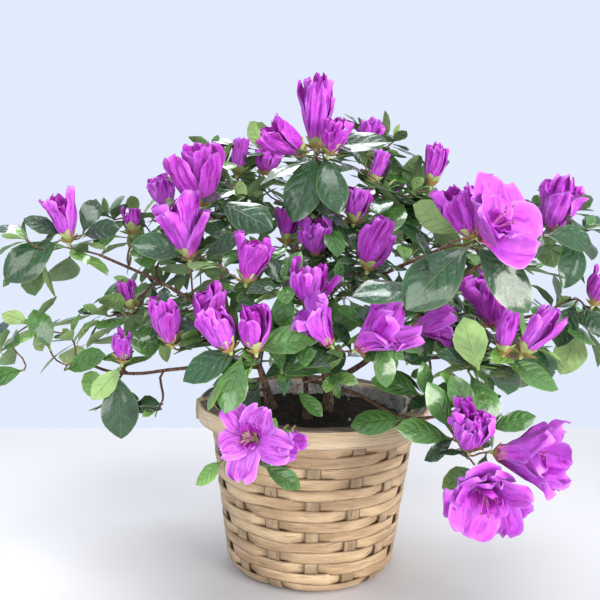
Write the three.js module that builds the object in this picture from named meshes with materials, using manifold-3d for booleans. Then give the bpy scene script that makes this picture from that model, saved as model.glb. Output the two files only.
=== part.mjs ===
// A flowering azalea shrub in a woven bamboo basket, in millimetres, +Z up.
// The origin is the centre of the basket's flat underside, and the shrub's front faces -Y.
//
// Four stems rise from the soil of a plastic grow pot that stands in the basket. Boughs fork from them
// and end in the leafy masses at the outside of the crown, so the crown is open within, as on the plant.

import * as THREE from "three";
import { mergeVertices } from "three/addons/utils/BufferGeometryUtils.js";
import Module from "manifold-3d";

const wasm = await Module();
wasm.setup();

// ---- Driving sizes ----

const GAP = 0.3; // between neighbouring solids
const POT_SIDES = 30;
const SOIL_TOP = 106;

const BASKET = {
  height: 116, // floor to the top of the rim
  rimRadius: 80, // outside of the rim's outer hoop
  rimDepth: 13, // height of the hoops
  innerHoop: 2, // thickness of the hoop inside the wall
  capping: 4, // depth of what covers the top of the wall
  rounding: 1.2, // of the rim's edges
  topRadius: 73, // outside of the woven wall, at the rim's height
  heelRadius: 56.4, // outside of the woven wall, above its rounded heel
  heelHeight: 10,
  footRadius: 47, // where the wall meets the floor
  lip: 2, // width of the flat that the wall stands on
  wall: 4,
};

const GROW_POT = {
  top: 113.5,
  topRadius: 64.2,
  bottomRadius: 49.6,
  wall: 1.2,
};

const LIMB = {
  sides: 6,
  step: 20, // length of a facet along the limb
  flare: 1.3, // how much a stem widens at the soil
  flareFade: 9, // how soon the flare is gone, going up the stem
  buried: 4, // how far a stem's curve starts under the soil, before the ground cuts it flat
  socket: 0.8, // how far out in a mass its bough ends, as a share of the mass's half size
};

const MASS = {
  columns: 10, // facets round the form
  rows: 7, // facets from its foot to its top
  lumps: 6,
  swell: 0.3, // how far a lump stands out, as a share of the form's radius
  focus: 5, // how narrow a lump is
  seed: 101,
  seedStep: 37,
  gap: 0.5, // what is cut away round a mass, from the masses after it
};

// Stems: where each leaves the soil, the points that it leans through, and its radius at foot and tip.
const STEMS = [
  { name: "stem_left", foot: [-30, 13], through: [[-39, 10, 137], [-60, 2, 170]], radii: [2.7, 1.9] },
  { name: "stem_front", foot: [-4, -11], through: [[-6, -18, 132], [-10, -42, 158]], radii: [1.8, 1.3] },
  { name: "stem_centre", foot: [10, 12], through: [[12, 6, 150], [2, -6, 206]], radii: [2.8, 1.8] },
  { name: "stem_rear", foot: [12, 34], through: [[6, 38, 140], [0, 58, 176]], radii: [2.4, 1.8] },
];

// Boughs: the limb that each forks from and how far along, the points on its way, its radius at fork and
// tip, and the mass that it carries, if any.
const BOUGHS = [
  {
    name: "bough_right",
    from: ["stem_centre", 0.22],
    through: [[36, 4, 142], [62, -8, 168]],
    radii: [2.2, 1.7],
  },
  {
    name: "bough_top",
    from: ["stem_centre", 0.97],
    through: [[0, -16, 236]],
    radii: [1.6, 1.1],
    to: "mass_top",
  },
  {
    name: "bough_upper_left",
    from: ["stem_left", 0.97],
    through: [[-64, -10, 204]],
    radii: [1.5, 1],
    to: "mass_upper_left",
  },
  {
    name: "bough_left_long",
    from: ["stem_left", 0.85],
    through: [[-98, -8, 192]],
    radii: [1.5, 0.9],
    to: "mass_left_tip",
  },
  {
    name: "bough_left_arching",
    from: ["stem_left", 0.45],
    through: [[-80, -34, 143], [-124, -47, 141]],
    radii: [1.5, 0.9],
    to: "mass_left_arching",
  },
  {
    name: "bough_front_low",
    from: ["stem_front", 0.97],
    through: [[-22, -66, 166]],
    radii: [1.2, 0.8],
    to: "mass_front_low_left",
  },
  {
    name: "bough_front_high",
    from: ["stem_centre", 0.75],
    through: [[36, -52, 206]],
    radii: [1.5, 1],
    to: "mass_front_high_right",
  },
  {
    name: "bough_right_shoulder",
    from: ["bough_right", 0.97],
    through: [[98, -18, 206]],
    radii: [1.5, 0.9],
    to: "mass_right_shoulder",
  },
  {
    name: "bough_right_long",
    from: ["bough_right", 0.85],
    through: [[104, -20, 172]],
    radii: [1.5, 1],
    to: "mass_right_tip",
  },
  {
    name: "bough_right_low",
    from: ["bough_right", 0.6],
    through: [[64, -42, 154]],
    radii: [1.3, 0.9],
    to: "mass_right_low",
  },
  {
    name: "bough_hanging_right",
    from: ["stem_front", 0.5],
    through: [[26, -40, 130], [52, -66, 122]],
    radii: [1.4, 1],
    to: "mass_hanging_leaves",
  },
  {
    name: "bough_hanging_front",
    from: ["stem_left", 0.22],
    through: [[-48, -46, 129]],
    radii: [1.1, 0.8],
    to: "mass_hanging_front",
  },
  {
    name: "bough_rear_high",
    from: ["stem_rear", 0.97],
    through: [[0, 76, 210]],
    radii: [1.5, 1],
    to: "mass_rear_high",
  },
  {
    name: "bough_rear_left",
    from: ["stem_rear", 0.85],
    through: [[-62, 72, 168]],
    radii: [1.4, 0.9],
    to: "mass_rear_left_low",
  },
  {
    name: "bough_rear_right",
    from: ["stem_rear", 0.7],
    through: [[62, 72, 166]],
    radii: [1.4, 0.9],
    to: "mass_rear_right_low",
  },
];

// Masses: middle and half sizes along X, Y and Z. An earlier mass keeps its shape where two meet.
const MASSES = [
  { name: "mass_top", at: [1, -31, 286], half: [41, 28, 47] },
  { name: "mass_front_high_right", at: [78, -127, 236], half: [41, 24, 39] },
  { name: "mass_left_tip", at: [-171, -20, 226], half: [42, 30, 28] },
  { name: "mass_left_arching", at: [-178, -50, 160], half: [41, 26, 29] },
  { name: "mass_left_low", at: [-110, -61, 139], half: [29, 22, 34] },
  { name: "mass_right_shoulder", at: [151, -40, 246], half: [28, 26, 24] },
  { name: "mass_right_tip", at: [173, -40, 190], half: [31, 26, 27] },
  { name: "mass_right_low", at: [108, -98, 170], half: [36, 24, 28] },
  { name: "mass_hanging_blooms", at: [103, -118, 94], half: [39, 25, 32] },
  { name: "mass_hanging_leaves", at: [83, -108, 135], half: [38, 24, 22] },
  { name: "mass_hanging_front", at: [-36, -103, 113], half: [31, 20, 20] },
  { name: "mass_front_low_left", at: [-38, -106, 168], half: [37, 22, 26] },
  { name: "mass_front_low_right", at: [21, -100, 178], half: [33, 22, 21] },
  { name: "mass_front_left", at: [-75, -80, 184], half: [27, 22, 27] },
  { name: "mass_front_mid_left", at: [-38, -90, 213], half: [29, 22, 23] },
  { name: "mass_front_centre", at: [-6, -88, 199], half: [24, 20, 19] },
  { name: "mass_mid_right", at: [34, -66, 216], half: [26, 22, 23] },
  { name: "mass_upper_left", at: [-66, -38, 261], half: [35, 28, 34] },
  { name: "mass_left_shoulder", at: [-77, -62, 230], half: [28, 24, 30] },
  { name: "mass_upper_centre", at: [6, -28, 234], half: [38, 24, 25] },
  { name: "mass_upper_right", at: [57, 0, 265], half: [43, 33, 28] },
  { name: "mass_right_middle", at: [86, -60, 185], half: [36, 25, 28] },
  { name: "mass_left_middle", at: [-121, -30, 183], half: [27, 24, 22] },
  { name: "mass_front_skirt", at: [18, -62, 150], half: [33, 20, 14] },
  { name: "mass_right_skirt", at: [68, -66, 147], half: [25, 20, 17] },
  { name: "mass_left_back", at: [-122, 20, 234], half: [35, 33, 28] },
  { name: "mass_top_back_right", at: [34, 50, 293], half: [33, 37, 28] },
  { name: "mass_top_back_left", at: [-50, 50, 276], half: [40, 36, 26] },
  { name: "mass_right_back", at: [122, 40, 218], half: [35, 32, 28] },
  { name: "mass_rear_high", at: [-4, 100, 244], half: [44, 32, 35] },
  { name: "mass_rear_left_high", at: [-86, 88, 229], half: [44, 33, 32] },
  { name: "mass_rear_right_high", at: [82, 88, 236], half: [49, 34, 34] },
  { name: "mass_rear_left_low", at: [-112, 80, 170], half: [42, 36, 29] },
  { name: "mass_rear_right_low", at: [110, 82, 173], half: [42, 36, 31] },
  { name: "mass_rear_middle", at: [-2, 122, 188], half: [52, 31, 34] },
  { name: "mass_rear_skirt", at: [-14, 108, 143], half: [46, 26, 22] },
];

// ---- Materials ----

const matte = (color, roughness) => new THREE.MeshStandardMaterial({ color, roughness, metalness: 0 });
const BAMBOO = matte(0xc9a876, 0.55);
const BAMBOO_EDGE = matte(0x9a8468, 0.6);
const PLASTIC = matte(0xd9d9dc, 0.5);
const SOIL = matte(0x1c1512, 0.95);
const BARK = matte(0x5e4334, 0.8);
const YOUNG_BARK = matte(0x7a4a3a, 0.7);
const LEAF = matte(0x2f5a3a, 0.4);

// ---- Solids ----

// A closed three.js geometry as a solid that can be cut.
function solidOf(geometry) {
  const bare = geometry.clone();
  bare.deleteAttribute("normal");
  bare.deleteAttribute("uv");
  const merged = mergeVertices(bare, 1e-3);
  const faces = [];
  for (let i = 0; i < merged.index.count; i += 3) {
    const [a, b, c] = [0, 1, 2].map((corner) => merged.index.getX(i + corner));
    if (a !== b && b !== c && c !== a) faces.push(a, b, c);
  }
  const vertProperties = new Float32Array(merged.attributes.position.array);
  return new wasm.Manifold(new wasm.Mesh({ numProp: 3, vertProperties, triVerts: new Uint32Array(faces) }));
}

// The largest piece of a solid, as a named three.js mesh.
function meshOf(name, solid, material) {
  const [largest] = solid.decompose().sort((a, b) => b.volume() - a.volume());
  const { vertProperties, triVerts } = largest.getMesh();
  const geometry = new THREE.BufferGeometry();
  geometry.setAttribute("position", new THREE.BufferAttribute(new Float32Array(vertProperties), 3));
  geometry.setIndex(new THREE.BufferAttribute(new Uint32Array(triVerts), 1));
  geometry.computeVertexNormals();
  const mesh = new THREE.Mesh(geometry, material);
  mesh.name = name;
  return mesh;
}

// What is left of a solid after its neighbours, each a little grown, are cut away.
const cutBy = (solid, neighbours) => neighbours.reduce((left, other) => left.subtract(other), solid);

// A body turned about the Z axis, from its [radius, height] outline taken anticlockwise.
function turned(outline) {
  const profile = outline.map(([radius, height]) => new THREE.Vector2(radius, height));
  return solidOf(new THREE.LatheGeometry(profile, POT_SIDES).rotateX(Math.PI / 2));
}

// ---- Basket, grow pot and soil ----

// Radius of the woven wall's outside at a height above its rounded heel.
function wallRadius(height) {
  const { topRadius, heelRadius, heelHeight } = BASKET;
  return heelRadius + ((topRadius - heelRadius) * (height - heelHeight)) / (BASKET.height - heelHeight);
}

// Radius of the rounded heel's outside at a height above the floor.
function heelRadiusAt(height) {
  const { footRadius, heelRadius, heelHeight } = BASKET;
  return footRadius + (heelRadius - footRadius) * Math.sin(Math.acos(1 - height / heelHeight));
}

function basketWall() {
  const { footRadius, heelHeight, wall, height, capping, lip } = BASKET;
  const top = height - capping;
  const heights = [0, 0.15, 0.5, 1].map((share) => share * heelHeight);
  return turned([
    [footRadius - lip, 0],
    ...heights.map((rise) => [heelRadiusAt(rise), rise]),
    [wallRadius(top), top],
    [wallRadius(top) - wall, top],
    [heelRadiusAt(heelHeight) - wall, heelHeight],
    [heelRadiusAt(wall) - wall, wall],
    [footRadius - lip, wall],
    [footRadius - lip, 0],
  ]);
}

function basketFloor() {
  const radius = BASKET.footRadius - BASKET.lip - GAP;
  return turned([[0, 0], [radius, 0], [radius, BASKET.wall], [0, BASKET.wall]]);
}

// An upturned channel that sits over the top of the wall: outer hoop, capping and inner hoop.
function basketRim() {
  const { height, rimRadius, rimDepth, innerHoop, wall, capping, rounding } = BASKET;
  const foot = height - rimDepth;
  const seat = height - capping + GAP;
  const outside = wallRadius(height - capping) + GAP;
  const inside = wallRadius(foot) - wall - GAP;
  return turned([
    [outside, foot],
    [rimRadius - rounding, foot],
    [rimRadius, height - rimDepth / 2],
    [rimRadius - rounding, height - rounding],
    [rimRadius - 2 * rounding, height],
    [inside - innerHoop + rounding, height],
    [inside - innerHoop, height - rounding],
    [inside - innerHoop, foot],
    [inside, foot],
    [wallRadius(height - capping) - wall - GAP, seat],
    [outside, seat],
    [outside, foot],
  ]);
}

function growPot() {
  const { top, topRadius, bottomRadius, wall } = GROW_POT;
  const bottom = BASKET.wall + GAP;
  return turned([
    [0, bottom],
    [bottomRadius, bottom],
    [topRadius, top],
    [topRadius - wall, top],
    [bottomRadius - wall, bottom + wall],
    [0, bottom + wall],
  ]);
}

function rootBall() {
  const { top, topRadius, bottomRadius, wall } = GROW_POT;
  const bottom = BASKET.wall + GAP + wall + GAP;
  const flare = (topRadius - bottomRadius) / (top - bottom);
  const lower = bottomRadius - wall - 2 * GAP;
  const upper = lower + flare * (SOIL_TOP - bottom);
  return turned([[0, bottom], [lower, bottom], [upper, SOIL_TOP], [0, SOIL_TOP]]);
}

// ---- Limbs ----

// A tapering limb round a curve. grown is how far its skin and its ends stand out from the real ones.
function limb({ curve, radii: [foot, tip], flare = 0 }, grown = 0) {
  const steps = Math.max(3, Math.round(curve.getLength() / LIMB.step));
  const radiusAt = (share) => foot + (tip - foot) * share + flare * Math.exp(-share * LIMB.flareFade) + grown;
  const profile = [new THREE.Vector2(0, 0)];
  for (let row = 0; row <= steps; row++) profile.push(new THREE.Vector2(radiusAt(row / steps), row / steps));
  profile.push(new THREE.Vector2(0, 1));
  const geometry = new THREE.LatheGeometry(profile, LIMB.sides);
  const frames = curve.computeFrenetFrames(steps);
  const spots = geometry.attributes.position;
  for (let i = 0; i < spots.count; i++) {
    const share = Math.min(1, Math.max(0, spots.getY(i)));
    const row = Math.round(share * steps);
    const past = grown * ((row === steps) - (row === 0));
    const spot = curve.getPointAt(share);
    spot.addScaledVector(frames.normals[row], spots.getX(i));
    spot.addScaledVector(frames.binormals[row], -spots.getZ(i));
    spot.addScaledVector(frames.tangents[row], past);
    spots.setXYZ(i, ...spot.toArray());
  }
  return solidOf(geometry);
}

const curveThrough = (points) => new THREE.CatmullRomCurve3(points, false, "centripetal");
const vectors = (rows) => rows.map((row) => new THREE.Vector3(...row));

// A stem's curve starts under the soil's surface, where the ground cuts it off flat.
function stemCurve({ foot: [x, y], through }) {
  const start = new THREE.Vector3(x, y, SOIL_TOP);
  const lean = new THREE.Vector3(...through[0]).sub(start).normalize();
  const buried = start.clone().addScaledVector(lean, -LIMB.buried);
  return curveThrough([buried, ...vectors(through)]);
}

// Where a bough that comes from a point ends: just inside the mass that it carries.
function socketIn({ at, half: [halfX, halfY, halfZ] }, point) {
  const middle = new THREE.Vector3(...at);
  const away = point.clone().sub(middle);
  const depth = Math.hypot(away.x / halfX, away.y / halfY, away.z / halfZ);
  return middle.addScaledVector(away, LIMB.socket / depth);
}

// A bough's curve starts inside the limb that it forks from.
function boughCurve({ from: [limbName, share], through, to }, curves) {
  const points = [curves[limbName].getPointAt(share), ...vectors(through)];
  const carried = MASSES.find(({ name }) => name === to);
  if (carried) points.push(socketIn(carried, points.at(-1)));
  return curveThrough(points);
}

// ---- Masses ----

// A repeatable row of numbers between 0 and 1.
function numbersFrom(seed) {
  const modulus = 2147483647;
  let state = seed;
  const next = () => {
    state = (state * 16807) % modulus;
    return state / modulus;
  };
  for (let early = 0; early < 5; early++) next(); // the first numbers of neighbouring seeds are alike
  return next;
}

// An uneven closed form with lumps of its own, fitted to the box of its middle and half sizes.
function mass({ at, half }, seed, grown = 0) {
  const next = numbersFrom(seed);
  const lumps = Array.from({ length: MASS.lumps }, () => {
    const direction = new THREE.Vector3(next() - 0.5, next() - 0.5, next() - 0.5).normalize();
    return { direction, swell: MASS.swell * (0.4 + next()) };
  });
  const geometry = new THREE.SphereGeometry(1, MASS.columns, MASS.rows).rotateX(Math.PI / 2);
  const spots = geometry.attributes.position;
  const spot = new THREE.Vector3();
  for (let i = 0; i < spots.count; i++) {
    spot.fromBufferAttribute(spots, i).normalize();
    let radius = 1;
    for (const { direction, swell } of lumps) {
      radius += swell * Math.exp((spot.dot(direction) - 1) * MASS.focus);
    }
    spot.multiplyScalar(radius);
    spots.setXYZ(i, ...spot.toArray());
  }
  geometry.computeBoundingBox();
  const size = geometry.boundingBox.getSize(new THREE.Vector3());
  const middle = geometry.boundingBox.getCenter(new THREE.Vector3());
  geometry.translate(-middle.x, -middle.y, -middle.z);
  const [x, y, z] = half.map((length) => 2 * (length + grown));
  geometry.scale(x / size.x, y / size.y, z / size.z);
  geometry.translate(...at);
  return solidOf(geometry);
}

// ---- Assembly ----

function pot() {
  const group = new THREE.Group();
  group.add(
    meshOf("basket_wall", basketWall(), BAMBOO),
    meshOf("basket_floor", basketFloor(), BAMBOO),
    meshOf("basket_rim", basketRim(), BAMBOO_EDGE),
    meshOf("grow_pot", growPot(), PLASTIC),
    meshOf("soil", rootBall(), SOIL),
  );
  return group;
}

function shrub() {
  const group = new THREE.Group();
  const ground = solidOf(
    new THREE.BoxGeometry(200, 200, LIMB.buried * 4).translate(0, 0, SOIL_TOP + GAP - LIMB.buried * 2),
  );
  const curves = {};
  const grownLimbs = [];
  for (const stem of STEMS) {
    curves[stem.name] = stemCurve(stem);
    const sizes = { ...stem, curve: curves[stem.name], flare: LIMB.flare };
    group.add(meshOf(stem.name, cutBy(limb(sizes), [ground, ...grownLimbs]), BARK));
    grownLimbs.push(limb(sizes, GAP));
  }
  for (const bough of BOUGHS) {
    curves[bough.name] = boughCurve(bough, curves);
    const sizes = { ...bough, curve: curves[bough.name] };
    group.add(meshOf(bough.name, cutBy(limb(sizes), grownLimbs), YOUNG_BARK));
    grownLimbs.push(limb(sizes, GAP));
  }
  const grownMasses = [];
  MASSES.forEach((sized, index) => {
    const seed = MASS.seed + index * MASS.seedStep;
    group.add(meshOf(sized.name, cutBy(mass(sized, seed), [...grownMasses, ...grownLimbs]), LEAF));
    grownMasses.push(mass(sized, seed, MASS.gap));
  });
  return group;
}

const azalea = new THREE.Group();
azalea.add(pot(), shrub());

export default azalea;
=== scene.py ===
"""Looks of a potted azalea, in bud and first flower, standing in a woven bamboo basket.

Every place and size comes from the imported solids.  Stems and boughs get their bark along the centre
lines of their solids.  Each mass of foliage becomes twigs, leaves and blossom that grow on from the
boughs by a seeded rule.  The basket is plaited strip by strip round its solid.
"""

import logging
import math
from dataclasses import dataclass, field
from enum import Enum
from functools import cache

import bpy
import numpy as np
from mathutils import Euler, Matrix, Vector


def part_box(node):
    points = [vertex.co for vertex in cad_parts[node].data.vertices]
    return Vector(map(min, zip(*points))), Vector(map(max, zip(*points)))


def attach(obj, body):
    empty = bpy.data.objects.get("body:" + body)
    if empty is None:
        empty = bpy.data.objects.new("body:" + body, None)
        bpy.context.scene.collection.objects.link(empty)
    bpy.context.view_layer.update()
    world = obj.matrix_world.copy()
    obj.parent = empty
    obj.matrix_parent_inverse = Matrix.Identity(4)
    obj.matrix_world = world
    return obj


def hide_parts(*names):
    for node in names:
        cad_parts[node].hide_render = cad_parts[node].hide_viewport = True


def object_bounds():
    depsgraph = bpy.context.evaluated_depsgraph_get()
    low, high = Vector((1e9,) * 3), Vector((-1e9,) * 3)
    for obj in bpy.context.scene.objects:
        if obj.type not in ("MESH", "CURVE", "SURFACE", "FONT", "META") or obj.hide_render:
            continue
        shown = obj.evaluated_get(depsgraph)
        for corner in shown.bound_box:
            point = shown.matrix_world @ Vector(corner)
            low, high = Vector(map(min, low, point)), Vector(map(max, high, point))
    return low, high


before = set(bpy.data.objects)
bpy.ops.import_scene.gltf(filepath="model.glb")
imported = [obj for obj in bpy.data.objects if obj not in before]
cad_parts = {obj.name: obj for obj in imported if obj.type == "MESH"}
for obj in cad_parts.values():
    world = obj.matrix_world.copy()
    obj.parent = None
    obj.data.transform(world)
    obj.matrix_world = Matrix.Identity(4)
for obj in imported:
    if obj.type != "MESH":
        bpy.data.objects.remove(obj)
cad_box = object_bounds()

log = logging.getLogger("azalea")
MM = 0.001
TURN = 2 * math.pi
GOLDEN = TURN * 0.381966
SEEDS = range(11, 17)
BODY = "root"
UP = np.array([0.0, 0.0, 1.0])
Array = np.ndarray
Rng = np.random.Generator
Colour = tuple[float, float, float]
Triple = tuple[float, float, float]
Tree = bpy.types.NodeTree
Material = bpy.types.Material
Mesh = bpy.types.Mesh
Piece = bpy.types.Object


# ---- small sums on vectors ----


def unit(vector: Array) -> Array:
    """Vectors at length one, taken along the last axis."""
    return vector / np.maximum(np.linalg.norm(vector, axis=-1, keepdims=True), 1e-12)


def ease(value: Array | float, low: float = 0.0, high: float = 1.0) -> Array:
    """Smooth step from 0 at low to 1 at high."""
    share = np.clip((np.asarray(value, float) - low) / (high - low), 0.0, 1.0)
    return share * share * (3.0 - 2.0 * share)


def square_to(vector: Array, axis: Array) -> Array:
    """The part of a vector that is square to an axis, at length one."""
    return unit(vector - axis * np.sum(vector * axis, axis=-1, keepdims=True))


def basis_on(axis: Array) -> Array:
    """Three directions square to each other, as rows, the last of them the axis."""
    first = unit(np.cross(axis, np.eye(3)[0 if abs(axis[0]) < 0.8 else 1]))
    return np.stack([first, np.cross(axis, first), axis])


def beside(axis: Array, turn: float) -> Array:
    """The direction square to an axis, at a turn round it."""
    first, second, _ = basis_on(axis)
    return first * math.cos(turn) + second * math.sin(turn)


def turns(count: int) -> Array:
    """Angles that share out a full turn."""
    return TURN * np.arange(count) / count


def around(radius: Array, angle: Array, height: Array) -> Array:
    """Points at a radius, an angle and a height round the upright axis."""
    return np.stack([radius * np.cos(angle), radius * np.sin(angle), height], -1)


def running(steps: Array) -> Array:
    """Running total along the last axis, starting from zero."""
    return np.concatenate([np.zeros(steps.shape[:-1] + (1,)), np.cumsum(steps, axis=-1)], axis=-1)


def sheet_normals(points: Array) -> Array:
    """Directions square to sheets of points, whose last three axes are rows, columns and coordinates."""
    return unit(np.cross(np.gradient(points, axis=-3), np.gradient(points, axis=-2)))


def corners_of(node: str) -> tuple[Array, Array]:
    """Lowest and highest corner of a node's box."""
    low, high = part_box(node)
    return np.array(low), np.array(high)


def radius_of(node: str) -> float:
    """Radius of a round node."""
    low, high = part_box(node)
    return (high.x - low.x) / 2


def toned(colour: Colour, factor: float) -> Colour:
    """A darker or a lighter tone of a colour."""
    return tuple(min(1.0, channel * factor) for channel in colour)


def between(first: Colour, second: Colour, share: float) -> Colour:
    """A colour on the way from one to another."""
    return tuple((1 - share) * a + share * b for a, b in zip(first, second))


def crumple(points: Array, length: float, amount: float, rng: Rng) -> Array:
    """Small smooth shifts of points in space, the same for points that are near each other.

    Args:
        points: The points, with coordinates last.
        length: Distance over which the shift changes.
        amount: Largest size of the shift, roughly.
        rng: Source of the pattern.

    Returns:
        The shifts.
    """
    total = np.zeros(points.shape)
    for _ in range(5):
        waves = rng.normal(0, TURN / length / 2.2, (3, 3))
        total = total + np.sin(points @ waves + rng.uniform(0, TURN, 3))
    return total * (amount / 3)


def smooth_line(points: Array, values: Array, step: float) -> tuple[Array, Array]:
    """Passes a Catmull-Rom curve through points.

    Args:
        points: The points, one row each.
        values: A number that goes with each point, such as a radius.
        step: Distance between the new points.

    Returns:
        The new points and the number at each.
    """
    padded = np.concatenate([[2 * points[0] - points[1]], points, [2 * points[-1] - points[-2]]])
    places, numbers = [], []
    for i in range(len(points) - 1):
        before, start, end, after = padded[i : i + 4]
        count = max(2, int(np.linalg.norm(end - start) / step))
        t = (np.arange(count) / count)[:, None]
        curve = 2 * start + (end - before) * t + (2 * before - 5 * start + 4 * end - after) * t**2
        curve = curve + (3 * start - before - 3 * end + after) * t**3
        places.append(curve / 2)
        numbers.append(values[i] + (values[i + 1] - values[i]) * t[:, 0])
    return np.concatenate([*places, points[-1:]]), np.concatenate([*numbers, values[-1:]])


# ---- gathering meshes ----


def grid_quads(ids: Array) -> Array:
    """Quads between neighbouring rows and columns of vertex numbers."""
    corners = [ids[:-1, :-1], ids[1:, :-1], ids[1:, 1:], ids[:-1, 1:]]
    return np.stack(corners, axis=-1).reshape(-1, 4)


def disc_quads(ring: Array) -> Array:
    """Quads that fill a ring of an even number of vertices."""
    return np.array([[ring[0], *ring[i : i + 3]] for i in range(1, len(ring) - 2, 2)])


@dataclass(frozen=True)
class Sheet:
    """Grid of a thin closed blade: an upper and a lower sheet that share their rim."""

    rows: int
    columns: int

    def quads(self) -> tuple[Array, Array]:
        """Joins the blade's vertices.

        Returns:
            Corners of the faces, and 0 for an upper face or 1 for a lower one.
        """
        upper = np.arange((self.rows + 1) * (self.columns + 1)).reshape(self.rows + 1, -1)
        lower = upper.copy()
        inside = (self.rows - 1) * (self.columns - 1)
        lower[1:-1, 1:-1] = upper.size + np.arange(inside).reshape(self.rows - 1, -1)
        sheets = np.stack([grid_quads(upper), grid_quads(lower)])
        # At two corners the diagonal turns, so that neither half has all its corners on the rim.
        corners = [self.columns - 1, (self.rows - 1) * self.columns]
        sheets[:, corners] = np.roll(sheets[:, corners], -1, axis=2)
        sheets[1] = sheets[1][:, [0, 3, 2, 1]]
        return sheets.reshape(-1, 4), np.repeat([0, 1], self.rows * self.columns)

    def close(self, upper: Array, lower: Array) -> Array:
        """Vertices of the blades, from their upper and lower sheets."""
        inner = lower[:, 1:-1, 1:-1].reshape(len(lower), -1, 3)
        return np.concatenate([upper.reshape(len(upper), -1, 3), inner], axis=1)

    def surface(self, along: Array) -> Array:
        """Place of each vertex on the blade, across and along, from 0 to 1."""
        both = np.stack(np.meshgrid(np.linspace(0, 1, self.columns + 1), along), axis=-1)
        return np.concatenate([both.reshape(-1, 2), both[1:-1, 1:-1].reshape(-1, 2)])


@dataclass
class Pool:
    """Faces of one piece, gathered until the piece is made."""

    points: list[Array] = field(default_factory=list)
    faces: list[Array] = field(default_factory=list)
    marks: list[Array] = field(default_factory=list)
    surface: list[Array] = field(default_factory=list)
    count: int = 0
    sharp: float = math.radians(75)

    def add(self, points: Array, quads: Array, marks: Array | int, surface: Array) -> None:
        """Adds copies of one grid.

        Args:
            points: Vertices of each copy, as an array of copies, vertices and coordinates.
            quads: Corners of one copy's faces.
            marks: Number of each face's material, or one number for all.
            surface: Place of each vertex on the pattern, for one copy.
        """
        copies, size = points.shape[:2]
        shift = self.count + np.arange(copies)[:, None, None] * size
        halves = quads[:, [0, 1, 2, 0, 2, 3]].reshape(-1, 3)
        self.points.append(points.reshape(-1, 3))
        self.faces.append((halves[None] + shift).reshape(-1, 3))
        self.marks.append(np.tile(np.repeat(np.broadcast_to(marks, len(quads)), 2), copies))
        self.surface.append(np.tile(surface, (copies, 1)))
        self.count += copies * size

    def turn(self, rows: Array, sides: int, closed: bool, wobble: Array | float = 0.0) -> None:
        """Adds a form turned round the upright axis.

        Args:
            rows: Radius and height of each row, going up the outside, or anticlockwise round a hoop.
            sides: Even number of facets round the axis.
            closed: Whether the last row joins the first, as on a hoop, or both ends are filled.
            wobble: Added to the radius and the height, as rows, sides and 2 numbers.
        """
        count = len(rows)
        place = np.repeat(rows[:, None, :], sides, axis=1) + wobble
        ids = np.arange(count * sides).reshape(count, sides)
        looped = np.concatenate([ids, ids[:, :1]], axis=1)
        if closed:
            along = np.arange(count) / count
            quads = grid_quads(np.concatenate([looped, looped[:1]]))[:, ::-1]
        else:
            length = running(np.linalg.norm(np.diff(rows, axis=0), axis=1))
            along = length / length[-1]
            ends = disc_quads(ids[0])[:, ::-1], disc_quads(ids[-1])
            quads = np.concatenate([grid_quads(looped)[:, ::-1], *ends])
        points = around(place[..., 0], turns(sides), place[..., 1])
        chart = np.stack(np.meshgrid(np.arange(sides) / sides, along), -1)
        self.add(points.reshape(1, -1, 3), quads, 0, chart.reshape(-1, 2))

    def piece(self, name: str, *materials: Material) -> Piece:
        """Makes the piece's object, with its place in its mesh.

        Args:
            name: The piece's name.
            materials: What the faces' numbers stand for.

        Returns:
            The piece.
        """
        mesh = bpy.data.meshes.new(name)
        corners = np.concatenate(self.faces).ravel()
        surface = np.concatenate(self.surface)[corners]
        mesh.vertices.add(self.count)
        mesh.vertices.foreach_set("co", np.concatenate(self.points).astype(np.float32).ravel())
        mesh.loops.add(len(corners))
        mesh.loops.foreach_set("vertex_index", corners.astype(np.int32))
        mesh.polygons.add(len(corners) // 3)
        mesh.polygons.foreach_set("loop_start", np.arange(0, len(corners), 3, dtype=np.int32))
        mesh.polygons.foreach_set("material_index", np.concatenate(self.marks).astype(np.int32))
        mesh.uv_layers.new(name="UVMap").data.foreach_set("uv", surface.astype(np.float32).ravel())
        mesh.update(calc_edges=True)
        mesh.shade_smooth()
        mesh.set_sharp_from_angle(angle=self.sharp)
        for material in materials:
            mesh.materials.append(material)
        made = bpy.data.objects.new(name, mesh)
        bpy.context.scene.collection.objects.link(made)
        return made


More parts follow.
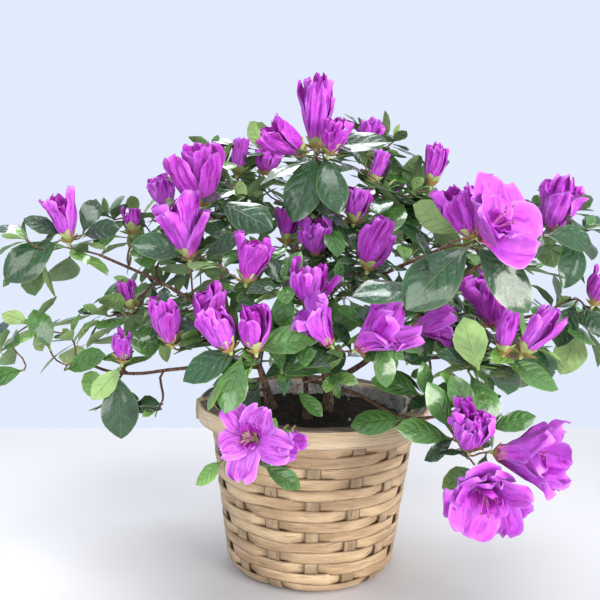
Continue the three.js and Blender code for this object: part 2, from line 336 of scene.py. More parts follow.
@dataclass
class Lines:
    """Centre lines that become round limbs, threads or reeds."""

    lines: list[tuple[Array, Array, bool]] = field(default_factory=list)

    def add(self, points: Array, radii: Array | float, closed: bool = False) -> None:
        """Adds one line with its radius at each point."""
        self.lines.append((points, np.broadcast_to(np.asarray(radii, float), len(points)), closed))

    def mesh(self, name: str) -> Mesh:
        """Makes the lines bare edges, with a thickness on every vertex.

        Args:
            name: The mesh's name.

        Returns:
            The mesh.
        """
        edges, start = [], 0
        for points, _, closed in self.lines:
            ids = start + np.arange(len(points))
            pairs = np.stack([ids, np.roll(ids, -1)], axis=1)
            edges.append(pairs if closed else pairs[:-1])
            start += len(points)
        places = np.concatenate([line[0] for line in self.lines])
        radii = np.concatenate([line[1] for line in self.lines])
        mesh = bpy.data.meshes.new(name)
        joined = np.concatenate(edges)
        mesh.vertices.add(start)
        mesh.vertices.foreach_set("co", places.astype(np.float32).ravel())
        mesh.edges.add(len(joined))
        mesh.edges.foreach_set("vertices", joined.astype(np.int32).ravel())
        thickness = mesh.attributes.new("thickness", "FLOAT", "POINT")
        thickness.data.foreach_set("value", radii.astype(np.float32))
        return mesh

    def rods(
        self, name: str, finish: "Finish", sides: int = 6, relief: float = 0.0, grain: float = 500.0
    ) -> Piece:
        """Makes the lines round rods.

        Args:
            name: The piece's name.
            finish: What they are made of.
            sides: Facets round each rod.
            relief: Unevenness of the skin, as a share of the radius.
            grain: How fine the unevenness is.

        Returns:
            The piece.
        """
        values = {"Sides": sides, "Relief": relief, "Grain": grain, "Material": finish.build()}
        return grown(name, rod_tree(), values, self.mesh(name))


# ---- writing node trees ----


class Field:
    """One output of a node, which plain arithmetic joins to others."""

    def __init__(self, graph: "Graph", socket: bpy.types.NodeSocket) -> None:
        """Keeps the output and the tree it is in."""
        self.graph = graph
        self.socket = socket

    def __add__(self, other: "Input") -> "Field":
        """Sum."""
        return self.graph.math("ADD", self, other)

    def __sub__(self, other: "Input") -> "Field":
        """Difference."""
        return self.graph.math("SUBTRACT", self, other)

    def __rsub__(self, other: float) -> "Field":
        """Difference from a number."""
        return self.graph.math("SUBTRACT", other, self)

    def __mul__(self, other: "Input") -> "Field":
        """Product."""
        return self.graph.math("MULTIPLY", self, other)

    def __truediv__(self, other: "Input") -> "Field":
        """Quotient."""
        return self.graph.math("DIVIDE", self, other)

    def __abs__(self) -> "Field":
        """Size without sign."""
        return self.graph.math("ABSOLUTE", self)

    __radd__ = __add__
    __rmul__ = __mul__


Input = Field | float | int | tuple | str


class Graph:
    """A node tree while it is written, for a material, a shader group or a geometry tree."""

    def __init__(self, tree: Tree) -> None:
        """Keeps the tree."""
        self.tree = tree

    @classmethod
    def group(cls, name: str, kind: str, inputs: dict[str, str], outputs: dict[str, str]) -> "Graph":
        """Starts a tree with named sockets.

        Args:
            name: The tree's name.
            kind: ShaderNodeTree or GeometryNodeTree.
            inputs: The short socket type of each input.
            outputs: The short socket type of each output.

        Returns:
            The graph, ready for nodes.
        """
        tree = bpy.data.node_groups.new(name, kind)
        for way, sockets in (("INPUT", inputs), ("OUTPUT", outputs)):
            for label, socket in sockets.items():
                tree.interface.new_socket(label, in_out=way, socket_type="NodeSocket" + socket)
        graph = cls(tree)
        graph.entry = tree.nodes.new("NodeGroupInput")
        graph.exit = tree.nodes.new("NodeGroupOutput")
        return graph

    @classmethod
    def shading(cls, name: str, inputs: dict[str, str], *outputs: str) -> "Graph":
        """Starts a shader group that puts out plain values."""
        return cls.group(name, "ShaderNodeTree", inputs, dict.fromkeys(outputs, "Float"))

    @classmethod
    def shaping(cls, name: str, **inputs: str) -> "Graph":
        """Starts a geometry tree that takes a mesh, sizes and a material."""
        sockets = {"Geometry": "Geometry", **inputs, "Material": "Material"}
        return cls.group(name, "GeometryNodeTree", sockets, {"Geometry": "Geometry"})

    def end(self, geometry: Field) -> Tree:
        """Ends a geometry tree in smooth shading, Realize Instances and Set Material.

        Args:
            geometry: What the tree has made.

        Returns:
            The tree.
        """
        smooth = self.shape("SetShadeSmooth", {"Geometry": geometry})
        real = self.shape("RealizeInstances", {"Geometry": smooth})
        inputs = {"Geometry": real, "Material": self.get("Material")}
        self.give("Geometry", self.shape("SetMaterial", inputs))
        return self.tree

    def get(self, label: str) -> Field:
        """A named input of the group."""
        return Field(self, self.entry.outputs[label])

    def give(self, label: str, value: Field) -> None:
        """Joins a field to a named output of the group."""
        self.join(value, self.exit.inputs[label])

    def join(self, value: Input, socket: bpy.types.NodeSocket) -> None:
        """Links a field to an input, or sets the input to a plain value.

        Args:
            value: The field or the value.
            socket: The input.
        """
        if isinstance(value, Field):
            self.tree.links.new(value.socket, socket)
        else:
            socket.default_value = value

    def node(self, kind: str, inputs: dict | None = None, out: int | str = 0, **settings: object) -> Field:
        """Adds a node.

        Args:
            kind: Its type.
            inputs: What its inputs are joined or set to.
            out: The output that is wanted.
            settings: Its options.

        Returns:
            The wanted output.
        """
        made = self.tree.nodes.new(kind)
        for key, value in settings.items():
            setattr(made, key, value)
        for key, value in (inputs or {}).items():
            self.join(value, made.inputs[key])
        return Field(self, made.outputs[out])

    def shape(self, kind: str, inputs: dict | None = None, **settings: object) -> Field:
        """Adds a geometry node."""
        return self.node("GeometryNode" + kind, inputs, **settings)

    def math(self, operation: str, first: Input, second: Input | None = None) -> Field:
        """Adds a Math node."""
        inputs = {0: first} if second is None else {0: first, 1: second}
        return self.node("ShaderNodeMath", inputs, operation=operation)

    def larger(self, first: Input, second: Input) -> Field:
        """The larger of two values."""
        return self.math("MAXIMUM", first, second)

    def ramp(self, value: Input, low: float, high: float, start: Input = 0.0, end: Input = 1.0) -> Field:
        """Smooth step of a value between two marks, from start to end."""
        inputs = {0: value, 1: low, 2: high, 3: start, 4: end}
        return self.node("ShaderNodeMapRange", inputs, interpolation_type="SMOOTHSTEP")

    def vector(self, x: Input, y: Input, z: Input = 0.0) -> Field:
        """Puts three numbers together."""
        return self.node("ShaderNodeCombineXYZ", {0: x, 1: y, 2: z})

    def parts(self, vector: Field) -> tuple[Field, Field, Field]:
        """Takes a vector apart."""
        x = self.node("ShaderNodeSeparateXYZ", {0: vector})
        return tuple(Field(self, output) for output in x.socket.node.outputs)

    def scaled(self, vector: Field, factors: Triple) -> Field:
        """Stretches a vector by three factors."""
        return self.node("ShaderNodeVectorMath", {0: vector, 1: factors}, operation="MULTIPLY")

    def noise(self, place: Input, scale: Input = 1.0, detail: float = 2.0, rough: float = 0.5) -> Field:
        """Noise from 0 to 1 at a place."""
        inputs = {"Vector": place, "Scale": scale, "Detail": detail, "Roughness": rough}
        return self.node("ShaderNodeTexNoise", inputs)

    def blend(self, share: Input, first: Input, second: Input) -> Field:
        """Mixes two colours."""
        ends = [(c + (1.0,)) if isinstance(c, tuple) else c for c in (first, second)]
        return self.node("ShaderNodeMix", {0: share, 6: ends[0], 7: ends[1]}, out=2, data_type="RGBA")

    def push(self, geometry: Field, distance: Field) -> Field:
        """Moves a surface out along its normals.

        Args:
            geometry: The surface.
            distance: How far it moves.

        Returns:
            The moved surface.
        """
        way = {0: self.shape("InputNormal"), "Scale": distance}
        offset = self.node("ShaderNodeVectorMath", way, operation="SCALE")
        return self.shape("SetPosition", {"Geometry": geometry, "Offset": offset})


class Shader(Graph):
    """A material's tree, round its Principled BSDF."""

    def __init__(self, name: str, **constants: float) -> None:
        """Starts a material.

        Args:
            name: The material's name.
            constants: Values set straight on the sockets of those names.
        """
        self.material = bpy.data.materials.new(name)
        self.material.use_nodes = True
        super().__init__(self.material.node_tree)
        self.surface = self.tree.nodes["Principled BSDF"]
        for label, value in constants.items():
            self.surface.inputs[label.replace("_", " ")].default_value = value

    def place(self) -> Field:
        """Object coordinates."""
        return self.node("ShaderNodeTexCoord", out="Object")

    def chart(self) -> Field:
        """The piece's own surface map: across and along."""
        return self.node("ShaderNodeUVMap", uv_map="UVMap")

    def use(self, group: Tree, out: str, **inputs: Input) -> Field:
        """Places a node group and returns one of its outputs."""
        return self.node("ShaderNodeGroup", inputs, out, node_tree=group)

    def spots(self, scale: float) -> tuple[Field, Field]:
        """Soft and fine mottling of the piece."""
        soft = self.use(mottling(), "Soft", Place=self.place(), Scale=scale)
        return soft, self.other(soft, "Fine")

    def other(self, value: Field, out: str) -> Field:
        """Another output of the node that a field comes from."""
        return Field(self, value.socket.node.outputs[out])

    def finish(
        self, colour: Field, rough: Field | None = None, height: Field | None = None, depth: float = 0.0
    ) -> Material:
        """Joins colour, roughness and relief to the surface.

        Args:
            colour: Base colour.
            rough: Roughness, where it varies.
            height: Relief from 0 to 1, where there is any.
            depth: What a height of 1 stands for, in metres.

        Returns:
            The finished material.
        """
        self.join(colour, self.surface.inputs["Base Color"])
        if rough is not None:
            self.join(rough, self.surface.inputs["Roughness"])
        if height is not None:
            bump = self.node("ShaderNodeBump", {"Height": height, "Distance": depth, "Strength": 1.0})
            self.join(bump, self.surface.inputs["Normal"])
        return self.material


@cache
def mottling() -> Tree:
    """Makes a shader group, once: soft and fine unevenness, from 0 to 1.

    Returns:
        The group.
    """
    graph = Graph.shading("Mottling", {"Place": "Vector", "Scale": "Float"}, "Soft", "Fine")
    scale = graph.get("Scale")
    soft = graph.noise(graph.get("Place"), scale, 3.0, 0.55)
    fine = graph.noise(graph.get("Place"), scale * 6.0, 2.0, 0.6)
    graph.give("Soft", graph.ramp(soft, 0.3, 0.7))
    graph.give("Fine", graph.ramp(fine, 0.25, 0.75))
    return graph.tree


@cache
def fibres() -> Tree:
    """Makes a shader group, once: long fibres of cane that run along the first axis, and a mask of painted
    shade along the edges of each strip.

    Returns:
        The group.
    """
    inputs = {"Chart": "Vector", "Stretch": "Float", "Count": "Float"}
    graph = Graph.shading("Fibres", inputs, "Streak", "Height", "Patch", "EdgeShade")
    x, y, z = graph.parts(graph.get("Chart"))
    # Painted shade: a mask that rises towards the edges of each strip, where the strips meet.
    graph.give("EdgeShade", graph.ramp(abs(graph.math("FRACT", y) - 0.5), 0.34, 0.5))
    along = x * graph.get("Stretch")
    coarse = graph.noise(graph.vector(along, y * graph.get("Count"), z))
    thin = graph.noise(graph.vector(along * 1.7, y * graph.get("Count") * 4.0, z), rough=0.7)
    patch = graph.noise(graph.vector(along * 0.35, y * 0.9, z))
    graph.give("Streak", graph.ramp(coarse * 0.6 + thin * 0.4, 0.38, 0.62))
    graph.give("Height", coarse * 0.45 + thin * 0.55)
    graph.give("Patch", graph.ramp(patch, 0.35, 0.65))
    return graph.tree


@cache
def leaf_veins() -> Tree:
    """Makes a shader group, once: midrib and curved side veins of a leaf.

    Returns:
        The group.
    """
    inputs = {"Chart": "Vector", "Pairs": "Float", "Puckers": "Float"}
    graph = Graph.shading("Leaf veins", inputs, "Rib", "Height", "Rim", "Stalk")
    across, along, _ = graph.parts(graph.get("Chart"))
    off = abs(across - 0.5) * 2.0
    rib = graph.ramp(off, 0.02, 0.075, 1.0, 0.0)
    wave = graph.math("FRACT", (along - off * off * 0.16 - off * 0.12) * graph.get("Pairs"))
    vein = graph.ramp(abs(wave - 0.5), 0.0, 0.36, 1.0, 0.0)
    calm = graph.ramp(off, 0.55, 0.95, 1.0, 0.05) * graph.ramp(along, 0.76, 0.94, 1.0, 0.05)
    relief = (graph.get("Puckers") - 0.5) * 1.3 - graph.larger(rib * 0.9, vein * 0.5)
    graph.give("Rib", rib)
    graph.give("Height", relief * calm)
    graph.give("Rim", graph.ramp(off, 0.88, 1.0))
    graph.give("Stalk", graph.ramp(along, 0.04, 0.16, 1.0, 0.0))
    return graph.tree


# ---- finishes, each of which makes its material once ----


@dataclass(frozen=True)
class LeafFinish:
    """One tint of leaf: its glossy upper face and its matt lower face."""

    name: str
    upper: Colour
    lower: Colour
    roughness: float = 0.34
    vein: Colour = (0.36, 0.46, 0.14)

    def build(self) -> tuple[Material, Material]:
        """Makes the materials of the upper and the lower face."""
        return self.face(True), self.face(False)

    def face(self, top: bool) -> Material:
        """Makes the material of one face.

        Args:
            top: Whether it is the upper face.

        Returns:
            The material.
        """
        colour = self.upper if top else self.lower
        shader = Shader(
            f"{self.name}_{'upper' if top else 'lower'}",
            IOR=1.48,
            Specular_IOR_Level=0.3,
            Coat_Weight=0.9 if top else 0.0,
            Coat_Roughness=0.13,
        )
        puckers = shader.noise(shader.place(), 330.0)
        rib = shader.use(leaf_veins(), "Rib", Chart=shader.chart(), Pairs=6.0, Puckers=puckers)
        soft, fine = shader.spots(45.0)
        base = shader.blend(soft, toned(colour, 0.72), toned(colour, 1.25))
        mark = shader.larger(rib * (0.22 if top else 0.5), shader.other(rib, "Stalk"))
        mark = shader.larger(mark, shader.other(rib, "Rim") * 0.35)
        base = shader.blend(mark, base, between(colour, self.vein, 0.55))
        height = shader.other(rib, "Height") * (1.0 if top else -0.5)
        smooth, worn = (self.roughness - 0.05, self.roughness + 0.08) if top else (0.55, 0.7)
        return shader.finish(base, shader.ramp(fine, 0.0, 1.0, smooth, worn), height, 0.9 * MM)


@dataclass(frozen=True)
class PetalFinish:
    """Silky petal with fine lengthwise pleats and a pinker claw, painted darker in its folds as shade and
    paler along its hem as a highlight.
    """

    name: str
    bloom: Colour
    claw: Colour
    rim: Colour

    @cache
    def build(self) -> Material:
        """Makes the material.

        Returns:
            The material.
        """
        shader = Shader(
            self.name,
            Roughness=0.55,
            IOR=1.35,
            Sheen_Weight=0.04,
            Sheen_Roughness=0.4,
            Subsurface_Weight=0.15,
            Subsurface_Scale=0.001,
        )
        across, along, _ = shader.parts(shader.chart())
        soft, _ = shader.spots(70.0)
        pleat = shader.noise(shader.vector(across * 10.0, along * 1.8, soft * 0.8), 1.0, 3.0, 0.6)
        # Painted shade: the petal darkens in the low parts of the pleats, the same pattern that gives the
        # relief.
        deep = (self.bloom[0] * 0.55, self.bloom[1] * 0.14, self.bloom[2] * 0.5)
        base = shader.blend(shader.ramp(pleat, 0.3, 0.54), deep, self.bloom)
        base = shader.blend(soft * 0.25, base, self.rim)
        base = shader.blend(shader.ramp(along, 0.02, 0.26, 0.85, 0.0), base, self.claw)
        # Painted highlight: the tip and the side edges of each petal turn paler, towards the rim colour.
        hem = shader.larger(shader.ramp(along, 0.9, 1.0), shader.ramp(abs(across - 0.5), 0.43, 0.5))
        return shader.finish(shader.blend(hem * 0.55, base, self.rim), None, pleat, 1.3 * MM)


@dataclass(frozen=True)
class PlainFinish:
    """A mottled finish of two colours, with a soft relief: stalks, scales, film, crumbs."""

    name: str
    first: Colour
    second: Colour
    roughness: float
    scale: float = 120.0
    relief: float = 0.3

    @cache
    def build(self) -> Material:
        """Makes the material.

        Returns:
            The material.
        """
        shader = Shader(self.name, IOR=1.45)
        soft, fine = shader.spots(self.scale)
        base = shader.blend(soft * 0.7 + fine * 0.3, self.first, self.second)
        rough = shader.ramp(fine, 0.0, 1.0, self.roughness - 0.06, self.roughness + 0.06)
        return shader.finish(base, rough, fine * 0.5 + soft * 0.5, self.relief * MM)


@dataclass(frozen=True)
class BarkFinish:
    """Bark with fissures along the limb and flakes of a paler layer."""

    name: str
    ground: Colour
    flake: Colour
    groove: Colour
    relief: float

    @cache
    def build(self) -> Material:
        """Makes the material.

        Returns:
            The material.
        """
        shader = Shader(self.name, IOR=1.45)
        place = shader.place()
        soft = shader.use(mottling(), "Soft", Place=shader.scaled(place, (1.0, 1.0, 0.45)), Scale=160.0)
        crack = shader.noise(shader.scaled(place, (1.0, 1.0, 0.22)), 900.0, 3.0, 0.65)
        base = shader.blend(shader.ramp(crack, 0.38, 0.62), self.groove, self.ground)
        base = shader.blend(soft * shader.ramp(crack, 0.45, 0.6), base, self.flake)
        return shader.finish(base, shader.ramp(crack, 0.3, 0.7, 0.85, 0.6), crack, self.relief * MM)


@dataclass(frozen=True)
class BambooFinish:
    """Split bamboo: pale glossy skin with long fibres, browner where it has weathered, and painted darker
    towards the edges of each strip as shade between the strips.
    """

    name: str
    pale: Colour
    brown: Colour
    stretch: float
    count: float
    relief: float = 0.35

    @cache
    def build(self) -> Material:
        """Makes the material.

        Returns:
            The material.
        """
        shader = Shader(self.name, IOR=1.5, Coat_Weight=0.12, Coat_Roughness=0.3)
        streak = shader.use(fibres(), "Streak", Chart=shader.chart(), Stretch=self.stretch, Count=self.count)
        soft, _ = shader.spots(28.0)
        height = shader.other(streak, "Height")
        base = shader.blend(streak, self.pale, between(self.pale, self.brown, 0.5))
        base = shader.blend(shader.other(streak, "Patch") * 0.6 + soft * 0.15, base, self.brown)
        # Painted shade: darker towards the edges of each strip.
        base = shader.blend(shader.other(streak, "EdgeShade") * 0.75, base, toned(self.brown, 0.6))
        base = shader.blend(shader.ramp(height, 0.36, 0.52, 0.8, 0.0), base, toned(self.brown, 0.3))
        return shader.finish(base, shader.ramp(height, 0.3, 0.7, 0.62, 0.36), height, self.relief * MM)


Finish = PetalFinish | PlainFinish | BarkFinish | BambooFinish


class Tint(Enum):
    """Tints of leaf, each a piece of its own."""

    DARK = LeafFinish("leaves_dark", (0.025, 0.073, 0.027), (0.17, 0.28, 0.12), 0.26)
    MID = LeafFinish("leaves_mid", (0.076, 0.188, 0.044), (0.25, 0.38, 0.14), 0.30)
    YOUNG = LeafFinish("leaves_young", (0.20, 0.39, 0.085), (0.35, 0.50, 0.20), 0.38)


PETALS = (
    PetalFinish("petals_outer", (0.53, 0.06, 0.63), (0.80, 0.22, 0.42), (0.68, 0.27, 0.84)),
    # The second finish is a darker copy of the petal colour: painted shade on the inner whorls and on the
    # inner faces of rolled petals.
    PetalFinish("petals_inner", (0.38, 0.018, 0.40), (0.42, 0.04, 0.20), (0.62, 0.09, 0.70)),
    PetalFinish("petals_pale", (0.57, 0.12, 0.66), (0.62, 0.05, 0.30), (0.72, 0.34, 0.86)),
    PetalFinish("petals_deep", (0.46, 0.04, 0.52), (0.70, 0.15, 0.36), (0.66, 0.17, 0.74)),
)
STAMEN = PlainFinish("stamens", (0.62, 0.12, 0.45), (0.72, 0.28, 0.58), 0.5)
ANTHER = PlainFinish("anthers", (0.22, 0.05, 0.10), (0.36, 0.12, 0.14), 0.6)
STALK = PlainFinish("green_stalks", (0.36, 0.46, 0.13), (0.52, 0.56, 0.25), 0.5)
SCALE = PlainFinish("bud_scales", (0.36, 0.17, 0.06), (0.46, 0.40, 0.13), 0.55)
BARK = BarkFinish("stem_bark", (0.19, 0.115, 0.08), (0.36, 0.25, 0.19), (0.05, 0.028, 0.02), 0.8)
TWIG = BarkFinish("twig_bark", (0.16, 0.075, 0.05), (0.30, 0.17, 0.11), (0.06, 0.025, 0.02), 0.3)
STRIP = BambooFinish("cane_strips", (0.88, 0.65, 0.39), (0.30, 0.175, 0.085), 0.4, 9.0, 0.5)
STAKE = BambooFinish("cane_stakes", (0.68, 0.50, 0.29), (0.17, 0.10, 0.055), 0.8, 8.0, 0.6)
HOOP = BambooFinish("rim_hoop", (0.97, 0.80, 0.56), (0.60, 0.42, 0.25), 12.0, 26.0, 0.6)
REED = BambooFinish("rim_reeds", (0.52, 0.39, 0.27), (0.17, 0.12, 0.085), 14.0, 9.0)
BASE = PlainFinish("basket_base", (0.50, 0.34, 0.20), (0.33, 0.21, 0.12), 0.6, 60.0)
# The inner shade is near black: painted shade that shows through the slits of the weave.
SHADE = PlainFinish("inner_shade", (0.035, 0.022, 0.016), (0.07, 0.045, 0.03), 0.8)
# The liner film is a dark tone, painted shade inside the basket, mottled with a pale tone as painted glints.
FILM = PlainFinish("liner_film", (0.16, 0.14, 0.13), (0.68, 0.66, 0.65), 0.3, 75.0, 1.2)
SOIL = PlainFinish("potting_soil", (0.008, 0.006, 0.005), (0.035, 0.024, 0.018), 0.9, 220.0, 1.5)
CRUMB = PlainFinish("soil_crumbs", (0.02, 0.013, 0.01), (0.07, 0.045, 0.03), 0.85, 400.0)
PERLITE = PlainFinish("perlite", (0.62, 0.60, 0.56), (0.8, 0.79, 0.76), 0.8, 500.0)


# ---- geometry trees ----


def grown(name: str, tree: Tree, values: dict[str, object], source: Mesh) -> Piece:
    """Runs a geometry tree once and keeps its result as a plain mesh.

    Args:
        name: Name of the piece.
        tree: The geometry tree.
        values: What its named inputs are set to.
        source: The mesh that the tree starts from.

    Returns:
        The piece, with no modifier left on it.
    """
    holder = bpy.data.objects.new(name, source)
    bpy.context.scene.collection.objects.link(holder)
    modifier = holder.modifiers.new(tree.name, "NODES")
    modifier.node_group = tree
    for item in tree.interface.items_tree:
        if item.in_out == "INPUT" and item.name in values:
            modifier[item.identifier] = values[item.name]
    shaped = holder.evaluated_get(bpy.context.evaluated_depsgraph_get())
    mesh = bpy.data.meshes.new_from_object(shaped)
    holder.modifiers.remove(modifier)
    holder.data = mesh
    mesh.name = name
    return holder


@cache
def rod_tree() -> Tree:
    """Makes a geometry tree, once: uneven round rods along edges, as thick as their thickness says.

    Returns:
        The tree.
    """
    graph = Graph.shaping("Round rods", Sides="Int", Relief="Float", Grain="Float")
    thick = graph.shape("InputNamedAttribute", {"Name": "thickness"}, data_type="FLOAT")
    curve = graph.shape("MeshToCurve", {"Mesh": graph.get("Geometry")})
    ring = graph.shape("CurvePrimitiveCircle", {"Resolution": graph.get("Sides"), "Radius": 1.0})
    sweep = {"Curve": curve, "Profile Curve": ring, "Scale": thick, "Fill Caps": True}
    place = graph.scaled(graph.shape("InputPosition"), (1.0, 1.0, 0.4))
    ridges = (graph.noise(place, graph.get("Grain")) - 0.5) * graph.get("Relief") * thick
    return graph.end(graph.push(graph.shape("CurveToMesh", sweep), ridges))


@cache
def crumb_tree() -> Tree:
    """Makes a geometry tree, once: uneven crumbs scattered over the faces that look up.

    Returns:
        The tree.
    """
    sizes = {"Density": "Float", "Smallest": "Float", "Largest": "Float", "Seed": "Int"}
    graph = Graph.shaping("Scattered crumbs", **sizes)
    _, _, lift = graph.parts(graph.shape("InputNormal"))
    spread = {"Mesh": graph.get("Geometry"), "Selection": graph.math("GREATER_THAN", lift, 0.5)}
    spread |= {label: graph.get(label) for label in ("Density", "Seed")}
    points = graph.shape("DistributePointsOnFaces", spread)
    ball = graph.shape("MeshIcoSphere", {"Radius": 1.0, "Subdivisions": 2})
    limits = {2: graph.get("Smallest"), 3: graph.get("Largest"), "Seed": graph.get("Seed")}
    size = graph.node("FunctionNodeRandomValue", limits, out=1)
    ends = {0: (0, 0, 0), 1: (6.3, 6.3, 6.3)}
    turn = graph.node("FunctionNodeRandomValue", ends, data_type="FLOAT_VECTOR")
    scale = graph.vector(size, size * 0.8, size * 0.6)
    spots = {"Points": points, "Instance": ball, "Scale": scale, "Rotation": turn}
    crumbs = graph.shape("RealizeInstances", {"Geometry": graph.shape("InstanceOnPoints", spots)})
    bumps = (graph.noise(graph.shape("InputPosition"), 700.0, 1.0) - 0.5) * 1.4 * MM
    return graph.end(graph.push(crumbs, bumps))


def keep(piece: Piece, slot: str, *nodes: str) -> None:
    """Puts a finished piece on the body and reports it.

    Args:
        piece: The piece.
        slot: Not used.
        nodes: The nodes it stands for.
    """
    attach(piece, BODY)
    if nodes:
        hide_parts(*nodes)
    log.info("%s: %d faces", piece.name, len(piece.data.polygons))


# ---- the basket ----


@dataclass
class Basket:
    """Round basket of split bamboo: upright stakes, plaited strips, and a rim bound between hoops."""

    rng: Rng
    stakes: int = 15
    rows: int = 14
    first_stake: float = math.radians(6)
    strip_width: float = 8.1 * MM
    strip_thickness: float = 0.9 * MM
    stake_width: float = 9.0 * MM
    swing: float = 1.25 * MM
    heel_radius: float = 56.4 * MM
    heel_height: float = 10 * MM
    heel_tuck: float = 7 * MM
    foot_lift: float = 1.5 * MM
    steps: int = 181
    sleeve_gap: float = 3.0 * MM
    ties: int = 5

    def __post_init__(self) -> None:
        """Reads the basket's sizes off its solids."""
        low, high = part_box("basket_rim")
        self.top_radius = radius_of("basket_wall") - self.swing
        self.wall_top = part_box("basket_wall")[1].z
        self.rim_radius = radius_of("basket_rim")
        self.rim_base = low.z
        self.rim_top = high.z
        self.pitch = (self.rim_base - self.foot_lift) / self.rows

    def radius_at(self, height: Input | Array) -> Input | Array:
        """Radius of the middle of the weave at a height.

        Args:
            height: A number, an array of them, or a field of a geometry tree.

        Returns:
            The radius, of the same kind.
        """
        slope = (self.top_radius - self.heel_radius) / self.wall_top
        short = 1.0 - height / self.heel_height
        sunk = (short + abs(short)) * 0.5
        return height * slope + (self.heel_radius - self.swing) - sunk * sunk * self.heel_tuck

    def crossing(self, count: Field) -> Field:
        """Distance, in stakes, from the middle of the one stake in three that shows."""
        return abs(count.graph.math("FLOORED_MODULO", count, 3.0) - 1.5)

    def drift(self, angle: Field, row: Field, along: float, by_row: float, layer: float) -> Field:
        """Slow unevenness along a strip, from -0.5 to 0.5, of its own in each row."""
        place = angle.graph.vector(angle * along, row * by_row, layer)
        return angle.graph.noise(place, detail=1.0) - 0.5

    def slats(self, graph: Graph, count: str, across: int, up: int) -> tuple[Field, ...]:
        """Makes boxes, one for each strip or stake.

        Args:
            graph: The geometry tree.
            count: Name of the input that says how many.
            across: Vertices along a box's X.
            up: Vertices along its Z.

        Returns:
            The boxes, the number of each, and x, y and z of each vertex, from -0.5 to 0.5.
        """
        cube = graph.shape("MeshCube", {"Vertices X": across, "Vertices Y": 2, "Vertices Z": up})
        points = graph.shape("Points", {"Count": graph.get(count)})
        copies = graph.shape("InstanceOnPoints", {"Points": points, "Instance": cube})
        number = {"Geometry": copies, "Name": "number", "Value": graph.shape("InputIndex")}
        marked = graph.shape("StoreNamedAttribute", number, data_type="FLOAT", domain="INSTANCE")
        real = graph.shape("RealizeInstances", {"Geometry": marked})
        which = graph.shape("InputNamedAttribute", {"Name": "number"}, data_type="FLOAT")
        return (real, which, *graph.parts(graph.shape("InputPosition")))

    def bend(self, real: Field, angle: Field, radius: Field, height: Field, chart: Field) -> Tree:
        """Moves the boxes to their places round the axis, and ends the tree.

        Args:
            real: The boxes.
            angle: Angle of each vertex round the axis.
            radius: Its distance from the axis.
            height: Its height.
            chart: Its place on the pattern of fibres.

        Returns:
            The tree.
        """
        graph = real.graph
        inputs = {"Geometry": real, "Name": "UVMap", "Value": chart}
        mapped = graph.shape("StoreNamedAttribute", inputs, data_type="FLOAT2", domain="CORNER")
        x = graph.math("COSINE", angle) * radius
        y = graph.math("SINE", angle) * radius
        inputs = {"Geometry": mapped, "Position": graph.vector(x, y, height)}
        return graph.end(graph.shape("SetPosition", inputs))

    def strip_tree(self) -> Tree:
        """Strips that go over two stakes and under one, a stake further on in each row.

        Returns:
            The geometry tree.
        """
        sizes = dict.fromkeys(("Stakes", "Pitch", "Width", "Thickness", "Swing"), "Float")
        graph = Graph.shaping("Plaited strips", Rows="Int", **sizes)
        real, row, x, y, z = self.slats(graph, "Rows", self.steps, 5)
        hidden = graph.math("FLOORED_MODULO", -2.0 - row, 3.0) + 3.0
        start = hidden / graph.get("Stakes") * TURN + self.first_stake
        angle = (x + 0.5) * (TURN * 1.02) + start
        stray = self.drift(angle, row, 1.3, 5.3, 0.0) * (3.9 * MM)
        breadth = graph.get("Width") * (1.0 + self.drift(angle, row, 2.1, 2.7, 5.0) * 0.5)
        height = (row + 0.5) * graph.get("Pitch") + self.foot_lift + z * breadth + stray
        count = (angle - self.first_stake) / TURN * graph.get("Stakes") + row + 0.5
        out = graph.ramp(self.crossing(count), 0.18, 0.62, -1.0, 1.0)
        lap = graph.ramp(x, 0.475, 0.49) * (-1.1 * MM)
        tilt = z * self.drift(angle, row, 1.7, 3.9, 9.0) * (4.8 * MM)
        crown = (1.0 - z * z * 4.0) * (0.4 * MM) + tilt
        radius = self.radius_at(height) + out * graph.get("Swing") - y * graph.get("Thickness")
        chart = graph.vector(angle * 9.0 + row * 31.7, row * 4.0 + z * 0.98 + 0.5)
        return self.bend(real, angle, radius + crown + lap, height, chart)

    def stake_tree(self) -> Tree:
        """Upright ribbed stakes that the strips pass.

        Returns:
            The geometry tree.
        """
        sizes = dict.fromkeys(("Pitch", "Width", "Thickness", "Swing"), "Float")
        graph = Graph.shaping("Upright stakes", Stakes="Int", **sizes)
        real, number, x, y, z = self.slats(graph, "Stakes", 7, 100)
        height = (z + 0.5) * (self.wall_top - self.foot_lift) + self.foot_lift
        rows_up = (height - self.foot_lift) / graph.get("Pitch")
        out = graph.ramp(self.crossing(number + rows_up), 0.3, 0.75, 1.0, -1.0)
        middle = self.radius_at(height)
        angle = number / graph.get("Stakes") * TURN + self.first_stake + x * graph.get("Width") / middle
        ribs = graph.math("COSINE", x * (TURN * 3.0)) * (0.18 * MM)
        radius = middle + out * graph.get("Swing") - y * graph.get("Thickness") + ribs
        chart = graph.vector(height * 140.0 + number * 17.3, number * 4.0 + x * 0.98 + 0.5)
        return self.bend(real, angle, radius, height, chart)

    def weave(self) -> None:
        """Makes the plaited wall and the stakes that it runs round."""
        values = {
            "Rows": self.rows,
            "Stakes": float(self.stakes),
            "Pitch": self.pitch,
            "Width": self.strip_width,
            "Thickness": self.strip_thickness,
            "Swing": self.swing,
            "Material": STRIP.build(),
        }
        empty = bpy.data.meshes.new("start")
        keep(grown("plaited_strips", self.strip_tree(), values, empty), "bamboo", "basket_wall")
        values |= {"Stakes": self.stakes, "Width": self.stake_width, "Material": STAKE.build()}
        keep(grown("upright_stakes", self.stake_tree(), values, empty.copy()), "bamboo")

